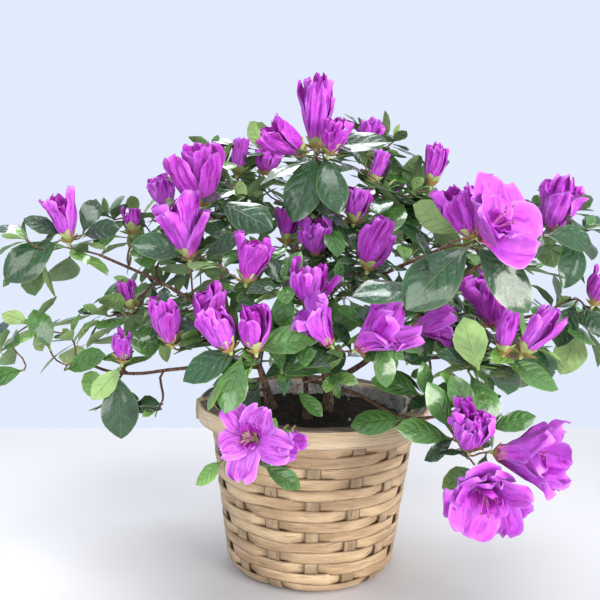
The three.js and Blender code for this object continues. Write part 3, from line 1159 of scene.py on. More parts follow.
    def sleeve(self) -> None:
        """Makes the dark sleeve behind the weave, so that no slit shows through the basket: a near-black
        sheet of painted shade that the slits show.
        """
        heights = np.linspace(self.foot_lift + MM, self.rim_base, 9)
        outer = np.stack([self.radius_at(heights) - self.sleeve_gap, heights], -1)
        pool = Pool()
        pool.turn(np.concatenate([outer, outer[::-1] - [0.8 * MM, 0.0]]), 60, True)
        keep(pool.piece("painted_shade_sleeve", SHADE.build()), "bamboo")

    def hoops(self) -> None:
        """Makes the ribbed outer hoop of the rim and the thin one inside the wall."""
        tall = self.rim_top - self.rim_base
        face = np.linspace(0.05, 0.92, 25)
        ribs = 0.4 * MM * np.abs(np.sin(np.arange(25) * math.pi / 4))
        bulge = 0.7 * MM * np.sin(face * math.pi)
        outside = np.stack([self.rim_radius - 1.0 * MM + bulge + ribs, self.rim_base + face * tall], -1)
        back = self.rim_base + tall * np.linspace(0.88, 0.08, 4)
        inside = np.stack([np.full(4, self.rim_radius - 3.6 * MM), back], -1)
        sway = self.rng.normal(0, 1, (3, 2))
        angle = turns(180)
        drift = sum(0.25 * MM * np.sin((k + 2) * angle + sway[k, 0]) for k in range(3))
        wobble = np.stack([drift * 0.5, drift], -1)[None]
        thin = np.array([[2.2, 0.0], [2.2, 11.0], [1.2, 11.8], [0.0, 11.0], [0.0, 0.0]]) * MM
        pool = Pool()
        pool.turn(np.concatenate([outside, inside]), 180, True, wobble)
        pool.turn(thin + [radius_of("grow_pot") + 4.2 * MM, self.rim_base], 120, True)
        keep(pool.piece("rim_hoops", HOOP.build()), "rim", "basket_rim")

    def reeds(self) -> None:
        """Makes the reeds that cap the wall between the hoops."""
        reeds = Lines()
        angle = turns(180)
        lanes = ((2.6, 1.4, 1.5), (5.2, 1.0, 1.35), (7.8, 1.3, 1.4), (4.0, 3.0, 1.3))
        for lane, (inset, drop, radius) in enumerate(lanes):
            bends = self.rng.uniform(0, TURN, 4)
            stray = sum(0.28 * MM * np.sin((3 + 4 * k) * angle + bends[k]) for k in range(4))
            ring = self.rim_radius - inset * MM + stray
            level = self.rim_top - drop * MM + 0.8 * stray - 0.4 * MM
            thick = radius * MM * (1 + 0.06 * np.sin(11 * angle + lane))
            reeds.add(around(ring, angle, level), thick, closed=True)
        keep(reeds.rods("capping_reeds", REED, 8, 0.35), "rim")

    def lashings(self) -> None:
        """Makes the pairs of ties that bind the rim's hoops together."""
        ties = Lines()
        out, back = self.rim_radius + 0.2 * MM, self.rim_radius - 9.5 * MM
        low, high = self.rim_base + 0.4 * MM, self.rim_top - 0.2 * MM
        bulge = [out + 0.3 * MM, (low + high) / 2]
        top = [[out, high - MM], [out - 2.5 * MM, high], [back, high]]
        loop = np.array([[out, low], bulge, *top, [back - MM, low], [out - 4 * MM, low - 0.8 * MM]])
        for tie in range(self.ties):
            for side in (-1, 1):
                angle = self.first_stake + TURN * (tie + 0.5) / self.ties + side * 0.032
                ties.add(around(loop[:, 0], angle, loop[:, 1]), 0.95 * MM, closed=True)
        keep(ties.rods("rim_lashings", HOOP, 6, 0.1), "rim")

    def build(self) -> None:
        """Makes every piece of the basket, and gives its floor a finish."""
        self.weave()
        self.sleeve()
        self.hoops()
        self.reeds()
        self.lashings()
        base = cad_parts["basket_floor"]
        base.data.materials.clear()
        base.data.materials.append(BASE.build())


@dataclass
class Filling:
    """What stands in the basket: the crumpled liner and the potting soil."""

    liner_rng: Rng
    soil_rng: Rng
    liner_rise: float = 0.5 * MM
    liner_depth: float = 24 * MM
    film: float = 0.5 * MM
    sides: int = 120
    soil_sides: int = 72

    def liner(self) -> None:
        """Makes the pale film that lines the basket and stands up crumpled round the soil; its finish is a
        dark tone of painted shade with a pale mottle of painted glints.
        """
        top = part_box("grow_pot")[1].z + self.liner_rise
        heights = np.linspace(top - self.liner_depth, top, 9)
        angle = turns(self.sides)
        waves = self.liner_rng.uniform(0, TURN, 12)
        crease = sum(np.sin((7 + 5 * k) * angle + waves[k]) / (1 + 0.35 * k) for k in range(8)) / 3
        lift = sum(np.sin((2 + 3 * k) * angle + waves[k + 4]) / (1 + k) for k in range(4)) / 2
        rise = ease((heights - heights[0]) / (top - heights[0]))[:, None]
        radial = radius_of("grow_pot") + 0.8 * MM + crease * 1.2 * MM * rise
        level = heights[:, None] + (lift * 4.5 + np.sin(angle) * 2.0) * MM * rise
        outer = np.stack([radial, level], -1)
        section = np.concatenate([outer, outer[::-1] - [self.film, 0.0]])
        pool = Pool()
        pool.turn(np.zeros((len(section), 2)), self.sides, True, section)
        keep(pool.piece("basket_liner", FILM.build()), "liner", "grow_pot")

    def bed(self) -> Piece:
        """Makes the soil, with a rough top.

        Returns:
            The piece.
        """
        low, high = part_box("soil")
        under = [[0.70, low.z + 4 * MM], [0.84, (low.z + high.z) / 2], [0.985, high.z - 2 * MM]]
        top = [[share, high.z] for share in np.linspace(0.03, 0.985, 22)[::-1]]
        profile = np.array(under + top) * [radius_of("soil"), 1.0]
        x, y = (profile[:, :1] * wave(turns(self.soil_sides)) for wave in (np.cos, np.sin))
        swells = (np.sin(x * 90 * k + y * 61 * (4 - k) + k) * np.cos(y * 83 * k - x * 40) for k in (1, 2, 3))
        rough = sum(swells) / 3 * 2.0 * MM + self.soil_rng.normal(0, 0.35, x.shape) * MM - 1.2 * MM
        rough[: len(under)] = 0.0
        pool = Pool()
        pool.turn(profile, self.soil_sides, False, np.stack([np.zeros_like(x), rough], -1))
        return pool.piece("potting_soil", SOIL.build())

    def ground(self) -> None:
        """Makes the soil, and the crumbs and perlite on it."""
        bed = self.bed()
        keep(bed, "soil", "soil")
        for name, finish, density, smallest, largest, seed in (
            ("soil_crumbs", CRUMB, 42000.0, 0.5 * MM, 1.9 * MM, 3),
            ("perlite", PERLITE, 1400.0, 0.6 * MM, 1.6 * MM, 8),
        ):
            values = {"Density": density, "Smallest": smallest, "Largest": largest, "Seed": seed}
            values["Material"] = finish.build()
            keep(grown(name, crumb_tree(), values, bed.data.copy()), "soil")


# ---- stems and boughs ----


@dataclass
class Limbs:
    """Stems and boughs, with bark along the centre lines of their solids."""

    ring_gap: float = 7 * MM
    step: float = 3 * MM
    sunk: float = 3 * MM
    flare: float = 0.25
    flare_fade: float = 7 * MM
    lines: dict[str, tuple[Array, Array]] = field(default_factory=dict)

    def centre_line(self, name: str, foot: Array) -> tuple[Array, Array]:
        """Reads a limb's centre line off the rings of its solid.

        Args:
            name: The limb's node.
            foot: The point that the limb grows away from.

        Returns:
            Points along the limb and the radius at each.
        """
        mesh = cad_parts[name].data
        spots = np.zeros(len(mesh.vertices) * 3)
        mesh.vertices.foreach_get("co", spots)
        left = np.unique(np.round(spots.reshape(-1, 3), 5), axis=0)
        rings = []
        while len(left):
            ring, grew = left[:1], True
            while grew:
                near = np.linalg.norm(left[:, None] - ring[None], axis=2).min(1) < self.ring_gap
                grew = near.sum() > len(ring)
                ring = left[near]
            left = left[~near]
            middle = ring.mean(0)
            rings.append((middle, np.linalg.norm(ring - middle, axis=1).max()))
        rings.sort(key=lambda found: np.linalg.norm(found[0] - foot))
        return np.array([found[0] for found in rings]), np.array([found[1] for found in rings])

    def read(self) -> None:
        """Finds every limb's line, and starts it a little inside what carries it."""
        foot = np.array([0.0, 0.0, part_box("soil")[1].z])
        for name in sorted(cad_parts):
            if not name.startswith(("stem_", "bough_")):
                continue
            points, radii = self.centre_line(name, foot)
            is_stem = name.startswith("stem_")
            if not is_stem:
                radii[0] = radii[1] * 1.15
            start = points[0] - unit(points[1] - points[0]) * self.sunk
            points, radii = np.concatenate([[start], points]), np.concatenate([radii[:1], radii])
            points, radii = smooth_line(points, radii, self.step)
            if is_stem:
                height = points[:, 2] - points[0, 2]
                radii = radii * (1 + self.flare * np.exp(-height / self.flare_fade))
            self.lines[name] = (points, radii)

    def build(self) -> None:
        """Makes the stems and the boughs."""
        for start, sides, piece, slot, finish in (
            ("stem_", 14, "stems", "bark", BARK),
            ("bough_", 9, "boughs", "young_bark", TWIG),
        ):
            names = [name for name in self.lines if name.startswith(start)]
            lines = Lines()
            for name in names:
                lines.add(*self.lines[name])
            keep(lines.rods(piece, finish, sides, 0.4, 420.0), slot, *names)


@dataclass
class Skeleton:
    """Every point of wood that a new twig may spring from."""

    points: Array = field(default_factory=lambda: np.empty((0, 3)))
    headings: Array = field(default_factory=lambda: np.empty((0, 3)))
    radii: Array = field(default_factory=lambda: np.empty(0))
    lines: Lines = field(default_factory=Lines)
    turn_cost: float = 0.35
    crowded: float = 9 * MM
    node_gap: float = 5 * MM
    tip_radius: float = 0.62 * MM

    def join(self, line: Array, radii: Array) -> None:
        """Lets twigs spring from a line of wood, past its first points.

        Args:
            line: Points along it.
            radii: Its radius at each.
        """
        self.points = np.concatenate([self.points, line[2:]])
        self.headings = np.concatenate([self.headings, unit(np.gradient(line, axis=0))[2:]])
        self.radii = np.concatenate([self.radii, radii[2:]])

    def keep(self, line: Array, radii: Array) -> None:
        """Makes a twig part of the wood."""
        self.lines.add(line, radii)
        self.join(line, radii)

    def grow(self, tip: Array, heading: Array, rng: Rng) -> tuple[Array, Array]:
        """Shapes one twig from the nearest wood to a tip.

        Args:
            tip: Where the twig ends.
            heading: The direction it ends in.
            rng: Source of its small bends.

        Returns:
            The points of the twig and its radius at each.
        """
        away = tip - self.points
        far = np.linalg.norm(away, axis=1)
        turn = 1 - np.sum(unit(away) * self.headings, axis=1)
        cost = far * (1 + self.turn_cost * turn) + (far < self.crowded) * 1.0
        best = int(np.argmin(cost))
        start, length = self.points[best], far[best]
        lead = unit(self.headings[best] + 1.3 * unit(away[best]))
        ends = start, start + lead * length * 0.38, tip - heading * length * 0.34, tip
        count = max(5, int(length / self.node_gap))
        t = np.linspace(0, 1, count)[:, None]
        line = (1 - t) ** 3 * ends[0] + 3 * t * (1 - t) ** 2 * ends[1]
        line = line + 3 * t**2 * (1 - t) * ends[2] + t**3 * ends[3]
        line[1:-1] += rng.normal(0, 0.35 * MM, (count - 2, 3))
        thick = min(0.8 * self.radii[best], 0.75 * MM + 0.007 * length)
        return line, np.linspace(thick, self.tip_radius, count)


# ---- leaves ----


@dataclass(frozen=True)
class Leaf:
    """One leaf: where it springs, the way it points and faces, and its size."""

    foot: Array
    along: Array
    face: Array
    length: float
    width: float
    droop: float
    tint: Tint


@dataclass
class Foliage:
    """All the leaves, gathered and then made tint by tint."""

    rng: Rng
    grid: Sheet = Sheet(6, 4)
    fine_grid: Sheet = Sheet(12, 6)
    fine_from: float = 38 * MM
    stalk: float = 0.09
    thickness: float = 0.35 * MM
    leaves: list[Leaf] = field(default_factory=list)

    def outline(self, share: Array) -> Array:
        """Half width of a leaf along its length, from 0 to 1, widest past the middle."""
        past = np.clip((share - self.stalk) / (1 - self.stalk), 0, 1)
        return np.sin(math.pi * past**1.2) ** 0.74

    def gather(self, pool: Pool, leaves: list[Leaf], grid: Sheet) -> None:
        """Adds leaves to a pool, all on one grid.

        Args:
            pool: Where they go.
            leaves: The leaves.
            grid: Rows and columns of each.
        """
        count = len(leaves)
        if not count:
            return
        sizes = ("foot", "along", "face", "length", "width", "droop")
        read = (np.array([getattr(leaf, size) for leaf in leaves]) for size in sizes)
        foot, along, face, length, width, droop = read
        fold = self.rng.uniform(0.12, 0.45, count)
        curl = self.rng.uniform(0.1, 0.42, count)
        twist = self.rng.normal(0, 0.22, count)
        phase = self.rng.uniform(0, TURN, count)[:, None, None]
        ripple = self.rng.uniform(0.02, 0.07, count)[:, None, None]
        t = np.linspace(0, 1, grid.rows + 1)
        s = 0.55 * t + 0.225 * (1 - np.cos(math.pi * t))
        x = np.linspace(-1, 1, grid.columns + 1)
        lean = droop[:, None] * ((s[1:] + s[:-1]) / 2) ** 1.25
        step = np.diff(s) * length[:, None]
        out, down = running(step * np.cos(lean)), running(step * np.sin(lean))
        spine = foot[:, None] + out[..., None] * along[:, None] - down[..., None] * face[:, None]
        angle = (droop[:, None] * s**1.25)[..., None]
        normal = np.cos(angle) * face[:, None] + np.sin(angle) * along[:, None]
        side = np.cross(face, along)[:, None]
        roll = (twist[:, None] * s)[..., None]
        cos, sin = np.cos(roll), np.sin(roll)
        side, normal = side * cos + normal * sin, normal * cos - side * sin
        half = width[:, None] * np.maximum(self.outline(s), 0.0)
        half = np.maximum(half, np.where(s < 0.5, 0.55, 0.12) * MM)[..., None]
        hump = fold[:, None, None] * np.abs(x) - curl[:, None, None] * x**2
        wave = ripple * np.sin(1.5 * TURN * s[None, :, None] + phase + x * 1.5) * x**2
        upper = spine[:, :, None] + side[:, :, None] * (half * x)[..., None]
        upper = upper + normal[:, :, None] * (half * (hump + wave * 2))[..., None]
        lower = upper - sheet_normals(upper) * (self.thickness * (1 - 0.5 * x**2))[:, None]
        quads, marks = grid.quads()
        pool.add(grid.close(upper, lower), quads, marks, grid.surface(s))

    def build(self) -> None:
        """Makes one piece for each tint."""
        for tint in Tint:
            chosen = [leaf for leaf in self.leaves if leaf.tint is tint]
            pool = Pool()
            self.gather(pool, [leaf for leaf in chosen if leaf.length < self.fine_from], self.grid)
            self.gather(pool, [leaf for leaf in chosen if leaf.length >= self.fine_from], self.fine_grid)
            slot = "young_leaf" if tint is Tint.YOUNG else "foliage"
            names = MASS_NAMES if tint is Tint.DARK else []
            keep(pool.piece(tint.value.name, *tint.value.build()), slot, *names)


# ---- blossom ----


@dataclass(frozen=True)
class Whorl:
    """Petals that stand round a flower's axis.

    Lengths are shares of the flower's length.  spread is how far a petal leans from the axis at its
    foot and at its tip, in degrees.  wrap is how closely its section hugs the axis, swirl is how far
    it winds round the axis, in radians, and mark is the number of its tint.
    """

    count: int
    length: float
    width: float
    spread: tuple[float, float]
    wrap: float
    ruffle: float
    swirl: float = 0.2
    mark: int = 0


class Form(Enum):
    """How far open a flower is, from its outermost whorl to its innermost."""

    BUD = (
        Whorl(3, 0.95, 0.27, (34, -16), 1.0, 0.06, 0.3),
        Whorl(2, 1.0, 0.23, (24, -8), 1.2, 0.08, 0.4),
        Whorl(2, 0.96, 0.17, (12, -2), 1.5, 0.08, 0.6, 1),
    )
    TALL = (
        Whorl(3, 0.92, 0.18, (20, -3), 1.2, 0.07, 0.15),
        Whorl(2, 1.0, 0.19, (13, 0), 1.5, 0.08, 0.2),
        Whorl(2, 0.95, 0.14, (8, 2), 1.8, 0.08, 0.3, 1),
    )
    FAN = (
        Whorl(4, 0.94, 0.21, (40, 20), 1.1, 0.07, 0.1),
        Whorl(3, 1.0, 0.20, (24, 4), 1.3, 0.08, 0.15),
        Whorl(2, 0.82, 0.15, (10, 4), 1.6, 0.09, 0.3, 1),
    )
    CUP = (
        Whorl(3, 0.84, 0.27, (31, 4), 1.0, 0.11, 0.2),
        Whorl(3, 1.0, 0.23, (22, 3), 1.2, 0.13, 0.25),
        Whorl(3, 0.95, 0.17, (10, 4), 1.4, 0.13, 0.4, 1),
    )
    PRONGS = (
        Whorl(3, 1.0, 0.22, (22, -2), 1.6, 0.06, 0.15),
        Whorl(2, 0.88, 0.18, (8, 4), 1.7, 0.08, 0.2, 1),
    )
    RUFFLED = (
        Whorl(4, 0.84, 0.25, (38, 4), 0.9, 0.15, 0.2),
        Whorl(4, 1.0, 0.21, (26, 2), 1.1, 0.17, 0.3),
        Whorl(4, 0.92, 0.16, (14, 3), 1.3, 0.17, 0.4, 1),
    )
    FUNNEL = (
        Whorl(5, 1.0, 0.32, (16, 36), 0.7, 0.12, 0.2),
        Whorl(3, 0.75, 0.22, (10, 24), 0.8, 0.13, 0.2, 1),
    )
    OPEN = (
        Whorl(5, 1.0, 0.60, (30, 78), 0.2, 0.11, 0.1),
        Whorl(3, 0.8, 0.44, (24, 54), 0.35, 0.15, 0.15),
        Whorl(2, 0.55, 0.28, (12, 26), 0.7, 0.16, 0.2, 1),
    )
    BROAD = (
        Whorl(3, 1.0, 0.56, (34, 64), 0.3, 0.05, 0.1),
        Whorl(2, 0.66, 0.36, (20, 42), 0.5, 0.08, 0.2),
        Whorl(2, 0.5, 0.22, (10, 18), 0.8, 0.10, 0.3, 1),
    )
    STAR = (
        Whorl(5, 1.06, 0.36, (38, 74), 0.3, 0.08, 0.08, 2),
        Whorl(2, 0.5, 0.22, (14, 30), 0.8, 0.12, 0.2, 2),
    )


@dataclass(frozen=True)
class Bloom:
    """A flower whose place is listed.

    mass is the mass of foliage it stands in, at is its foot as shares of that mass's box, aim is the
    way it points, and size is its length in millimetres.
    """

    mass: str
    at: Triple
    form: Form
    size: float
    aim: Triple = (0.0, 0.0, 1.0)
    leaves: int = 6


@dataclass
class Blossom:
    """All the flowers, with their stalks, scales and stamens."""

    rng: Rng
    grid: Sheet = Sheet(10, 12)
    scale_grid: Sheet = Sheet(4, 2)
    foot_radius: float = 1.2 * MM
    foot_share: float = 0.035
    least_radius: float = 0.7 * MM
    divide: float = -0.01
    thickness: float = 0.3 * MM
    petals: dict[str, Pool] = field(default_factory=lambda: {"petals_front": Pool(), "petals_rear": Pool()})
    green: Pool = field(default_factory=Pool)
    stalks: Lines = field(default_factory=Lines)
    threads: Lines = field(default_factory=Lines)
    tips: Lines = field(default_factory=Lines)

    def petal_outline(self, share: Array, rolled: float) -> Array:
        """Half width of a petal along its length.

        Args:
            share: Places along the petal, from 0 to 1.
            rolled: 1 for a rolled petal, whose tip is square, and 0 for an open one, whose tip is round.

        Returns:
            The half width at each place, at most 1.
        """
        claw = 0.28 + 0.34 * rolled
        blade = claw + (1 - claw) * ease(share, 0.0, 0.5)
        start = 0.6 + 0.24 * rolled
        tip = np.sqrt(np.clip(1 - (np.clip(share - start, 0, 1) / (1.03 - start)) ** 2.6, 0, 1))
        return np.maximum(blade * tip, 0.3 + 0.2 * rolled)

    def whorl_sheets(self, whorl: Whorl, size: float) -> tuple[Array, Array, Array]:
        """Shapes one whorl round the upright axis.

        Args:
            whorl: The whorl.
            size: The flower's length.

        Returns:
            Upper and lower sheets of the petals, and the place of their rows from foot to tip.
        """
        rng, n = self.rng, whorl.count
        rolled = float(ease(whorl.wrap, 0.45, 0.9))
        s = 1 - (1 - np.linspace(0, 1, self.grid.rows + 1)) ** 1.45
        x = np.linspace(-1, 1, self.grid.columns + 1)
        turn = rng.uniform(0, TURN) + TURN / n * (np.arange(n) + rng.uniform(-0.2, 0.2, n))
        turn = turn[:, None] + whorl.swirl * rng.uniform(0.6, 1.3, (n, 1)) * s
        first = np.radians(whorl.spread[0] + rng.normal(0, 5, n))[:, None]
        last = np.radians(whorl.spread[1] + rng.normal(0, 16 - 8 * rolled, n))[:, None]
        length = (size * whorl.length * rng.uniform(0.78, 1.08, n))[:, None, None]
        width = (size * whorl.width * rng.uniform(0.85, 1.18, n))[:, None]
        lean = first + (last - first) * ((s[1:] + s[:-1]) / 2) ** 1.2
        step = np.diff(s) * length[..., 0]
        radius = self.foot_radius + self.foot_share * size * rolled + running(step * np.sin(lean))
        radius = np.maximum(radius, self.least_radius)[..., None]
        height = running(step * np.cos(lean))[..., None]
        angle = (first + (last - first) * s**1.2)[..., None]
        outward = around(1.0, turn, 0 * turn)
        side = np.cross(UP, outward)
        along = outward * np.sin(angle) + UP * np.cos(angle)
        inward = UP * np.sin(angle) - outward * np.cos(angle)
        half = (width * self.petal_outline(s, rolled))[..., None] * x
        bend = whorl.wrap / (radius + 1.5 * MM)
        psi = np.clip(bend * half, -2.7, 2.7)
        wave = rng.uniform(0, TURN, (6, n))[..., None, None]
        rows = s[None, :, None]
        ridge = np.sin(TURN * 1.15 * x + wave[0] + 2.2 * rows) + 0.6 * np.sin(TURN * 2.1 * x + wave[1])
        hem = np.where(x > 0, np.sin(11 * rows + wave[2]), np.sin(12 * rows + wave[4])) * np.abs(x) ** 1.5
        ridge = ridge + (0.7 + 0.4 * rolled) * hem
        pleats = np.sin(TURN * (0.7 + 0.5 * rolled) * x + wave[1] * 2 + 0.9 * np.sin(4 * rows + wave[3]))
        pleats = (1 - 2 * np.abs(pleats)) * ease(rows, 0.05, 0.3) * (1 - 0.6 * ease(rows, 0.75, 1.0))
        frill = np.sin(TURN * 1.7 * x + wave[3]) * rows**8
        lift = whorl.ruffle * length * ease(rows, 0.3, 1.0) * ridge * 0.5 + 0.17 * half
        lift = lift + pleats * (0.012 + 0.022 * rolled) * length + frill * 0.03 * length
        ragged = np.cos(TURN * 0.8 * x + wave[3]) + 0.45 * np.cos(TURN * 1.7 * x + wave[0])
        notch = 0.028 * length * rows**4 * ragged
        spine = outward * radius + UP * height
        flat = spine[:, :, None] + side[:, :, None] * (np.sin(psi) / bend)[..., None]
        rise = (1 - np.cos(psi)) / bend + lift
        upper = flat + inward[:, :, None] * rise[..., None] + along[:, :, None] * notch[..., None]
        return upper, upper - sheet_normals(upper) * self.thickness, s

    def add(self, foot: Array, axis: Array, form: Form, size: float) -> None:
        """Adds one flower.

        Args:
            foot: Where its petals spring.
            axis: The way it points.
            form: How far open it is.
            size: Its length.
        """
        basis = basis_on(axis)
        quads, sides = self.grid.quads()
        pool = self.petals["petals_front" if foot[1] < self.divide else "petals_rear"]
        rolled = form not in (Form.OPEN, Form.STAR, Form.BROAD, Form.FUNNEL)
        tone = 3 if rolled and self.rng.random() < 0.5 else 0
        for whorl in form.value:
            upper, lower, rows = self.whorl_sheets(whorl, size)
            tipward = np.linspace(0.2, 1, len(rows))[:, None, None]
            shift = crumple(upper, 9 * MM, 0.8 * MM, self.rng) * tipward
            points = self.grid.close(upper + shift, lower + shift) @ basis + foot
            # Inner faces of tightly rolled petals take finish 1, the darker copy: painted shade inside the
            # flower.
            marks = np.where((sides == 0) & (whorl.wrap > 0.75), 1, whorl.mark or tone)
            pool.add(points, quads, marks, self.grid.surface(rows))
        radius = self.foot_radius + self.foot_share * size * rolled
        self.blades(foot, basis, 6, 8.5 * MM, 0.55, 0, (radius, 0.8 * MM))
        self.blades(foot, basis, 5, 6.5 * MM, 0.95, 1, (radius * 0.8, 2.2 * MM))
        line = foot - axis * np.array([[4.5], [2.8], [1.2], [-0.1]]) * MM
        self.stalks.add(line, np.linspace(0.9 * MM, radius + 0.3 * MM, 4))
        if not rolled:
            self.stamens(foot, basis, size)

    def blades(
        self,
        foot: Array,
        basis: Array,
        count: int,
        length: float,
        lean: float,
        mark: int,
        start: tuple[float, float],
    ) -> None:
        """Adds small sepals or scales round a flower's foot.

        Args:
            foot: The flower's foot.
            basis: Its directions.
            count: How many there are.
            length: The usual length of one.
            lean: The angle from the flower's axis.
            mark: Number of the finish.
            start: Radius and depth that they spring at.
        """
        s = np.linspace(0, 1, self.scale_grid.rows + 1)
        x = np.linspace(-1, 1, self.scale_grid.columns + 1)
        half = (0.34 * length * np.sin(math.pi * (0.12 + 0.86 * s)) ** 0.8)[:, None]
        quads, _ = self.scale_grid.quads()
        for turn in self.rng.uniform(0, TURN) + turns(count):
            out = around(1.0, turn, 0.0)
            tilt = lean + self.rng.normal(0, 0.15)
            reach = length * self.rng.uniform(0.8, 1.15)
            spine = out * (start[0] + reach * s * math.sin(tilt))[:, None]
            spine = spine + UP * (reach * s * math.cos(tilt) - start[1])[:, None]
            inward = UP * math.sin(tilt) - out * math.cos(tilt)
            across = np.cross(UP, out)
            upper = spine[:, None] + across * (half * x)[..., None] + inward * (half * x**2 * 0.5)[..., None]
            lower = upper - inward * self.thickness
            points = self.scale_grid.close(upper[None], lower[None]) @ basis + foot
            self.green.add(points, quads, mark, self.scale_grid.surface(s))

    def stamens(self, foot: Array, basis: Array, size: float) -> None:
        """Adds the threads and their dark tips inside an open flower.

        Args:
            foot: The flower's foot.
            basis: Its directions.
            size: Its length.
        """
        lean = np.array([*self.rng.normal(0, 0.12, 2), 0.0]) * 2
        for k in range(6):
            spread = 0.15 + 0.1 * (k % 3)
            reach = size * self.rng.uniform(0.5, 0.72)
            t = np.linspace(0, 1, 6)[:, None]
            out = around(1.0, GOLDEN * k, 0.0) + lean
            local = UP * reach * t * math.cos(spread) + out * reach * math.sin(spread) * t**1.4
            line = local @ basis + foot
            self.threads.add(line, np.linspace(0.32, 0.22, 6) * MM)
            head = line[-1] + unit(line[-1] - line[-2]) * np.array([[-0.4], [0.0], [0.9], [1.4]]) * MM
            self.tips.add(head, np.array([0.2, 0.5, 0.45, 0.15]) * MM)

    def build(self) -> None:
        """Makes the pieces."""
        for name, pool in self.petals.items():
            keep(pool.piece(name, *(petal.build() for petal in PETALS)), "blossom")
        keep(self.green.piece("sepals_and_scales", STALK.build(), SCALE.build()), "young_leaf")
        keep(self.stalks.rods("flower_stalks", STALK), "young_leaf")
        keep(self.threads.rods("stamens", STAMEN), "blossom")
        keep(self.tips.rods("anthers", ANTHER), "blossom")


@dataclass(frozen=True)
class Frond:
    """A large leaf whose place is listed, in the same way as a flower's."""

    mass: str
    at: Triple
    aim: Triple
    size: float
    tint: Tint = Tint.DARK
    turned: bool = False


BLOOMS = (
    Bloom("top", (0.45, 0.5, 0.5), Form.TALL, 43, (0.03, -0.02, 1)),
    Bloom("top", (0.35, 0.1, 0.45), Form.BUD, 31, (-0.8, -0.45, 0.55), 4),
    Bloom("top", (0.55, 0.2, 0.45), Form.RUFFLED, 20, (0.25, -0.2, 1), 3),
    Bloom("top_back_right", (0.5, 0.5, 0.45), Form.CUP, 24, (0.3, 0, 1)),
    Bloom("upper_right", (0.25, 0.5, 0.5), Form.PRONGS, 24, (0.35, 0, 1)),
    Bloom("upper_right", (0.1, 0.1, 0.05), Form.CUP, 24, (0.1, -0.1, 1), 5),
    Bloom("upper_right", (0.7, 0.4, 0.5), Form.TALL, 27, (0.18, 0, 1)),
    Bloom("upper_left", (0.42, 0.45, 0.32), Form.FAN, 40, (-0.22, -0.1, 1), 7),
    Bloom("top_back_left", (0.4, 0.35, 0.4), Form.TALL, 25, (0.15, 0, 1)),
    Bloom("top_back_left", (0.65, 0.35, 0.4), Form.RUFFLED, 24, (0.2, 0, 1)),
    Bloom("left_shoulder", (0.5, 0.4, 0.3), Form.CUP, 38, (-0.15, -0.15, 1), 7),
    Bloom("left_back", (0.8, 0.2, 0.7), Form.RUFFLED, 24, (-0.3, 0, 1)),
    Bloom("left_back", (0.45, 0.2, 0.4), Form.BUD, 16, (0, 0, 1)),
    Bloom("front_mid_left", (0.45, 0.45, 0.35), Form.CUP, 27, (0.2, -0.1, 1), 7),
    Bloom("left_tip", (0.6, 0.5, 0.45), Form.PRONGS, 32, (-0.12, -0.1, 1), 8),
    Bloom("left_middle", (0.55, 0.3, 0.5), Form.PRONGS, 17, (-0.2, -0.1, 1)),
    Bloom("left_low", (0.35, 0.5, 0.7), Form.BUD, 20, (0.1, -0.15, 1), 8),
    Bloom("front_high_right", (0.5, 0.6, 0.5), Form.CUP, 27, (-0.5, -0.1, 0.9), 4),
    Bloom("front_high_right", (0.55, 0.5, 0.5), Form.BROAD, 35, (0.45, -0.7, 0.5), 6),
    Bloom("right_shoulder", (0.4, 0.5, 0.3), Form.RUFFLED, 34, (0.15, -0.1, 1), 8),
    Bloom("right_middle", (0.8, 0.5, 0.4), Form.RUFFLED, 33, (-0.2, -0.15, 1)),
    Bloom("right_tip", (0.5, 0.4, 0.55), Form.BUD, 22, (0.3, -0.15, 1), 6),
    Bloom("front_left", (0.35, 0.15, 0.25), Form.BUD, 30, (-0.1, -0.35, 0.9), 5),
    Bloom("front_left", (0.7, 0.25, 0.35), Form.BUD, 30, (0.12, -0.25, 1), 5),
    Bloom("front_low_left", (0.35, 0.35, 0.55), Form.BUD, 25, (-0.5, -0.1, 1), 7),
    Bloom("front_low_left", (0.55, 0.35, 0.55), Form.BUD, 25, (-0.1, -0.15, 1), 7),
    Bloom("upper_centre", (0.15, 0.45, 0.35), Form.PRONGS, 22, (0.1, 0, 1)),
    Bloom("upper_centre", (0.4, 0.25, 0.2), Form.RUFFLED, 24, (0, -0.15, 1)),
    Bloom("mid_right", (0.4, 0.3, 0.45), Form.BUD, 31, (0.25, -0.1, 1), 7),
    Bloom("front_centre", (0.45, 0.35, 0.35), Form.FAN, 26, (0.05, -0.2, 1), 6),
    Bloom("front_low_right", (0.25, 0.4, 0.4), Form.FUNNEL, 27, (-0.55, -0.25, 0.8), 5),
    Bloom("front_low_right", (0.5, 0.35, 0.35), Form.FUNNEL, 33, (0.75, -0.35, 0.75), 5),
    Bloom("right_middle", (0.1, 0.3, 0.35), Form.FUNNEL, 27, (1, -0.1, 0.2), 4),
    Bloom("right_low", (0.45, 0.5, 0.5), Form.PRONGS, 31, (0.05, -0.1, 1), 8),
    Bloom("right_low", (0.6, 0.45, 0.5), Form.TALL, 30, (0.5, -0.15, 1), 5),
    Bloom("hanging_blooms", (0.25, 0.5, 0.9), Form.RUFFLED, 27, (-0.05, -0.3, 0.9), 4),
    Bloom("hanging_blooms", (0.35, 0.4, 0.62), Form.OPEN, 29, (-0.08, -0.9, -0.4), 3),
    Bloom("hanging_blooms", (0.45, 0.55, 0.85), Form.FUNNEL, 38, (0.95, -0.35, -0.05), 4),
    Bloom("hanging_front", (0.5, 0.4, 0.65), Form.STAR, 25, (-0.1, -0.85, 0.3), 4),
    Bloom("hanging_front", (0.65, 0.45, 0.6), Form.FUNNEL, 20, (0.9, -0.5, -0.1), 3),
)
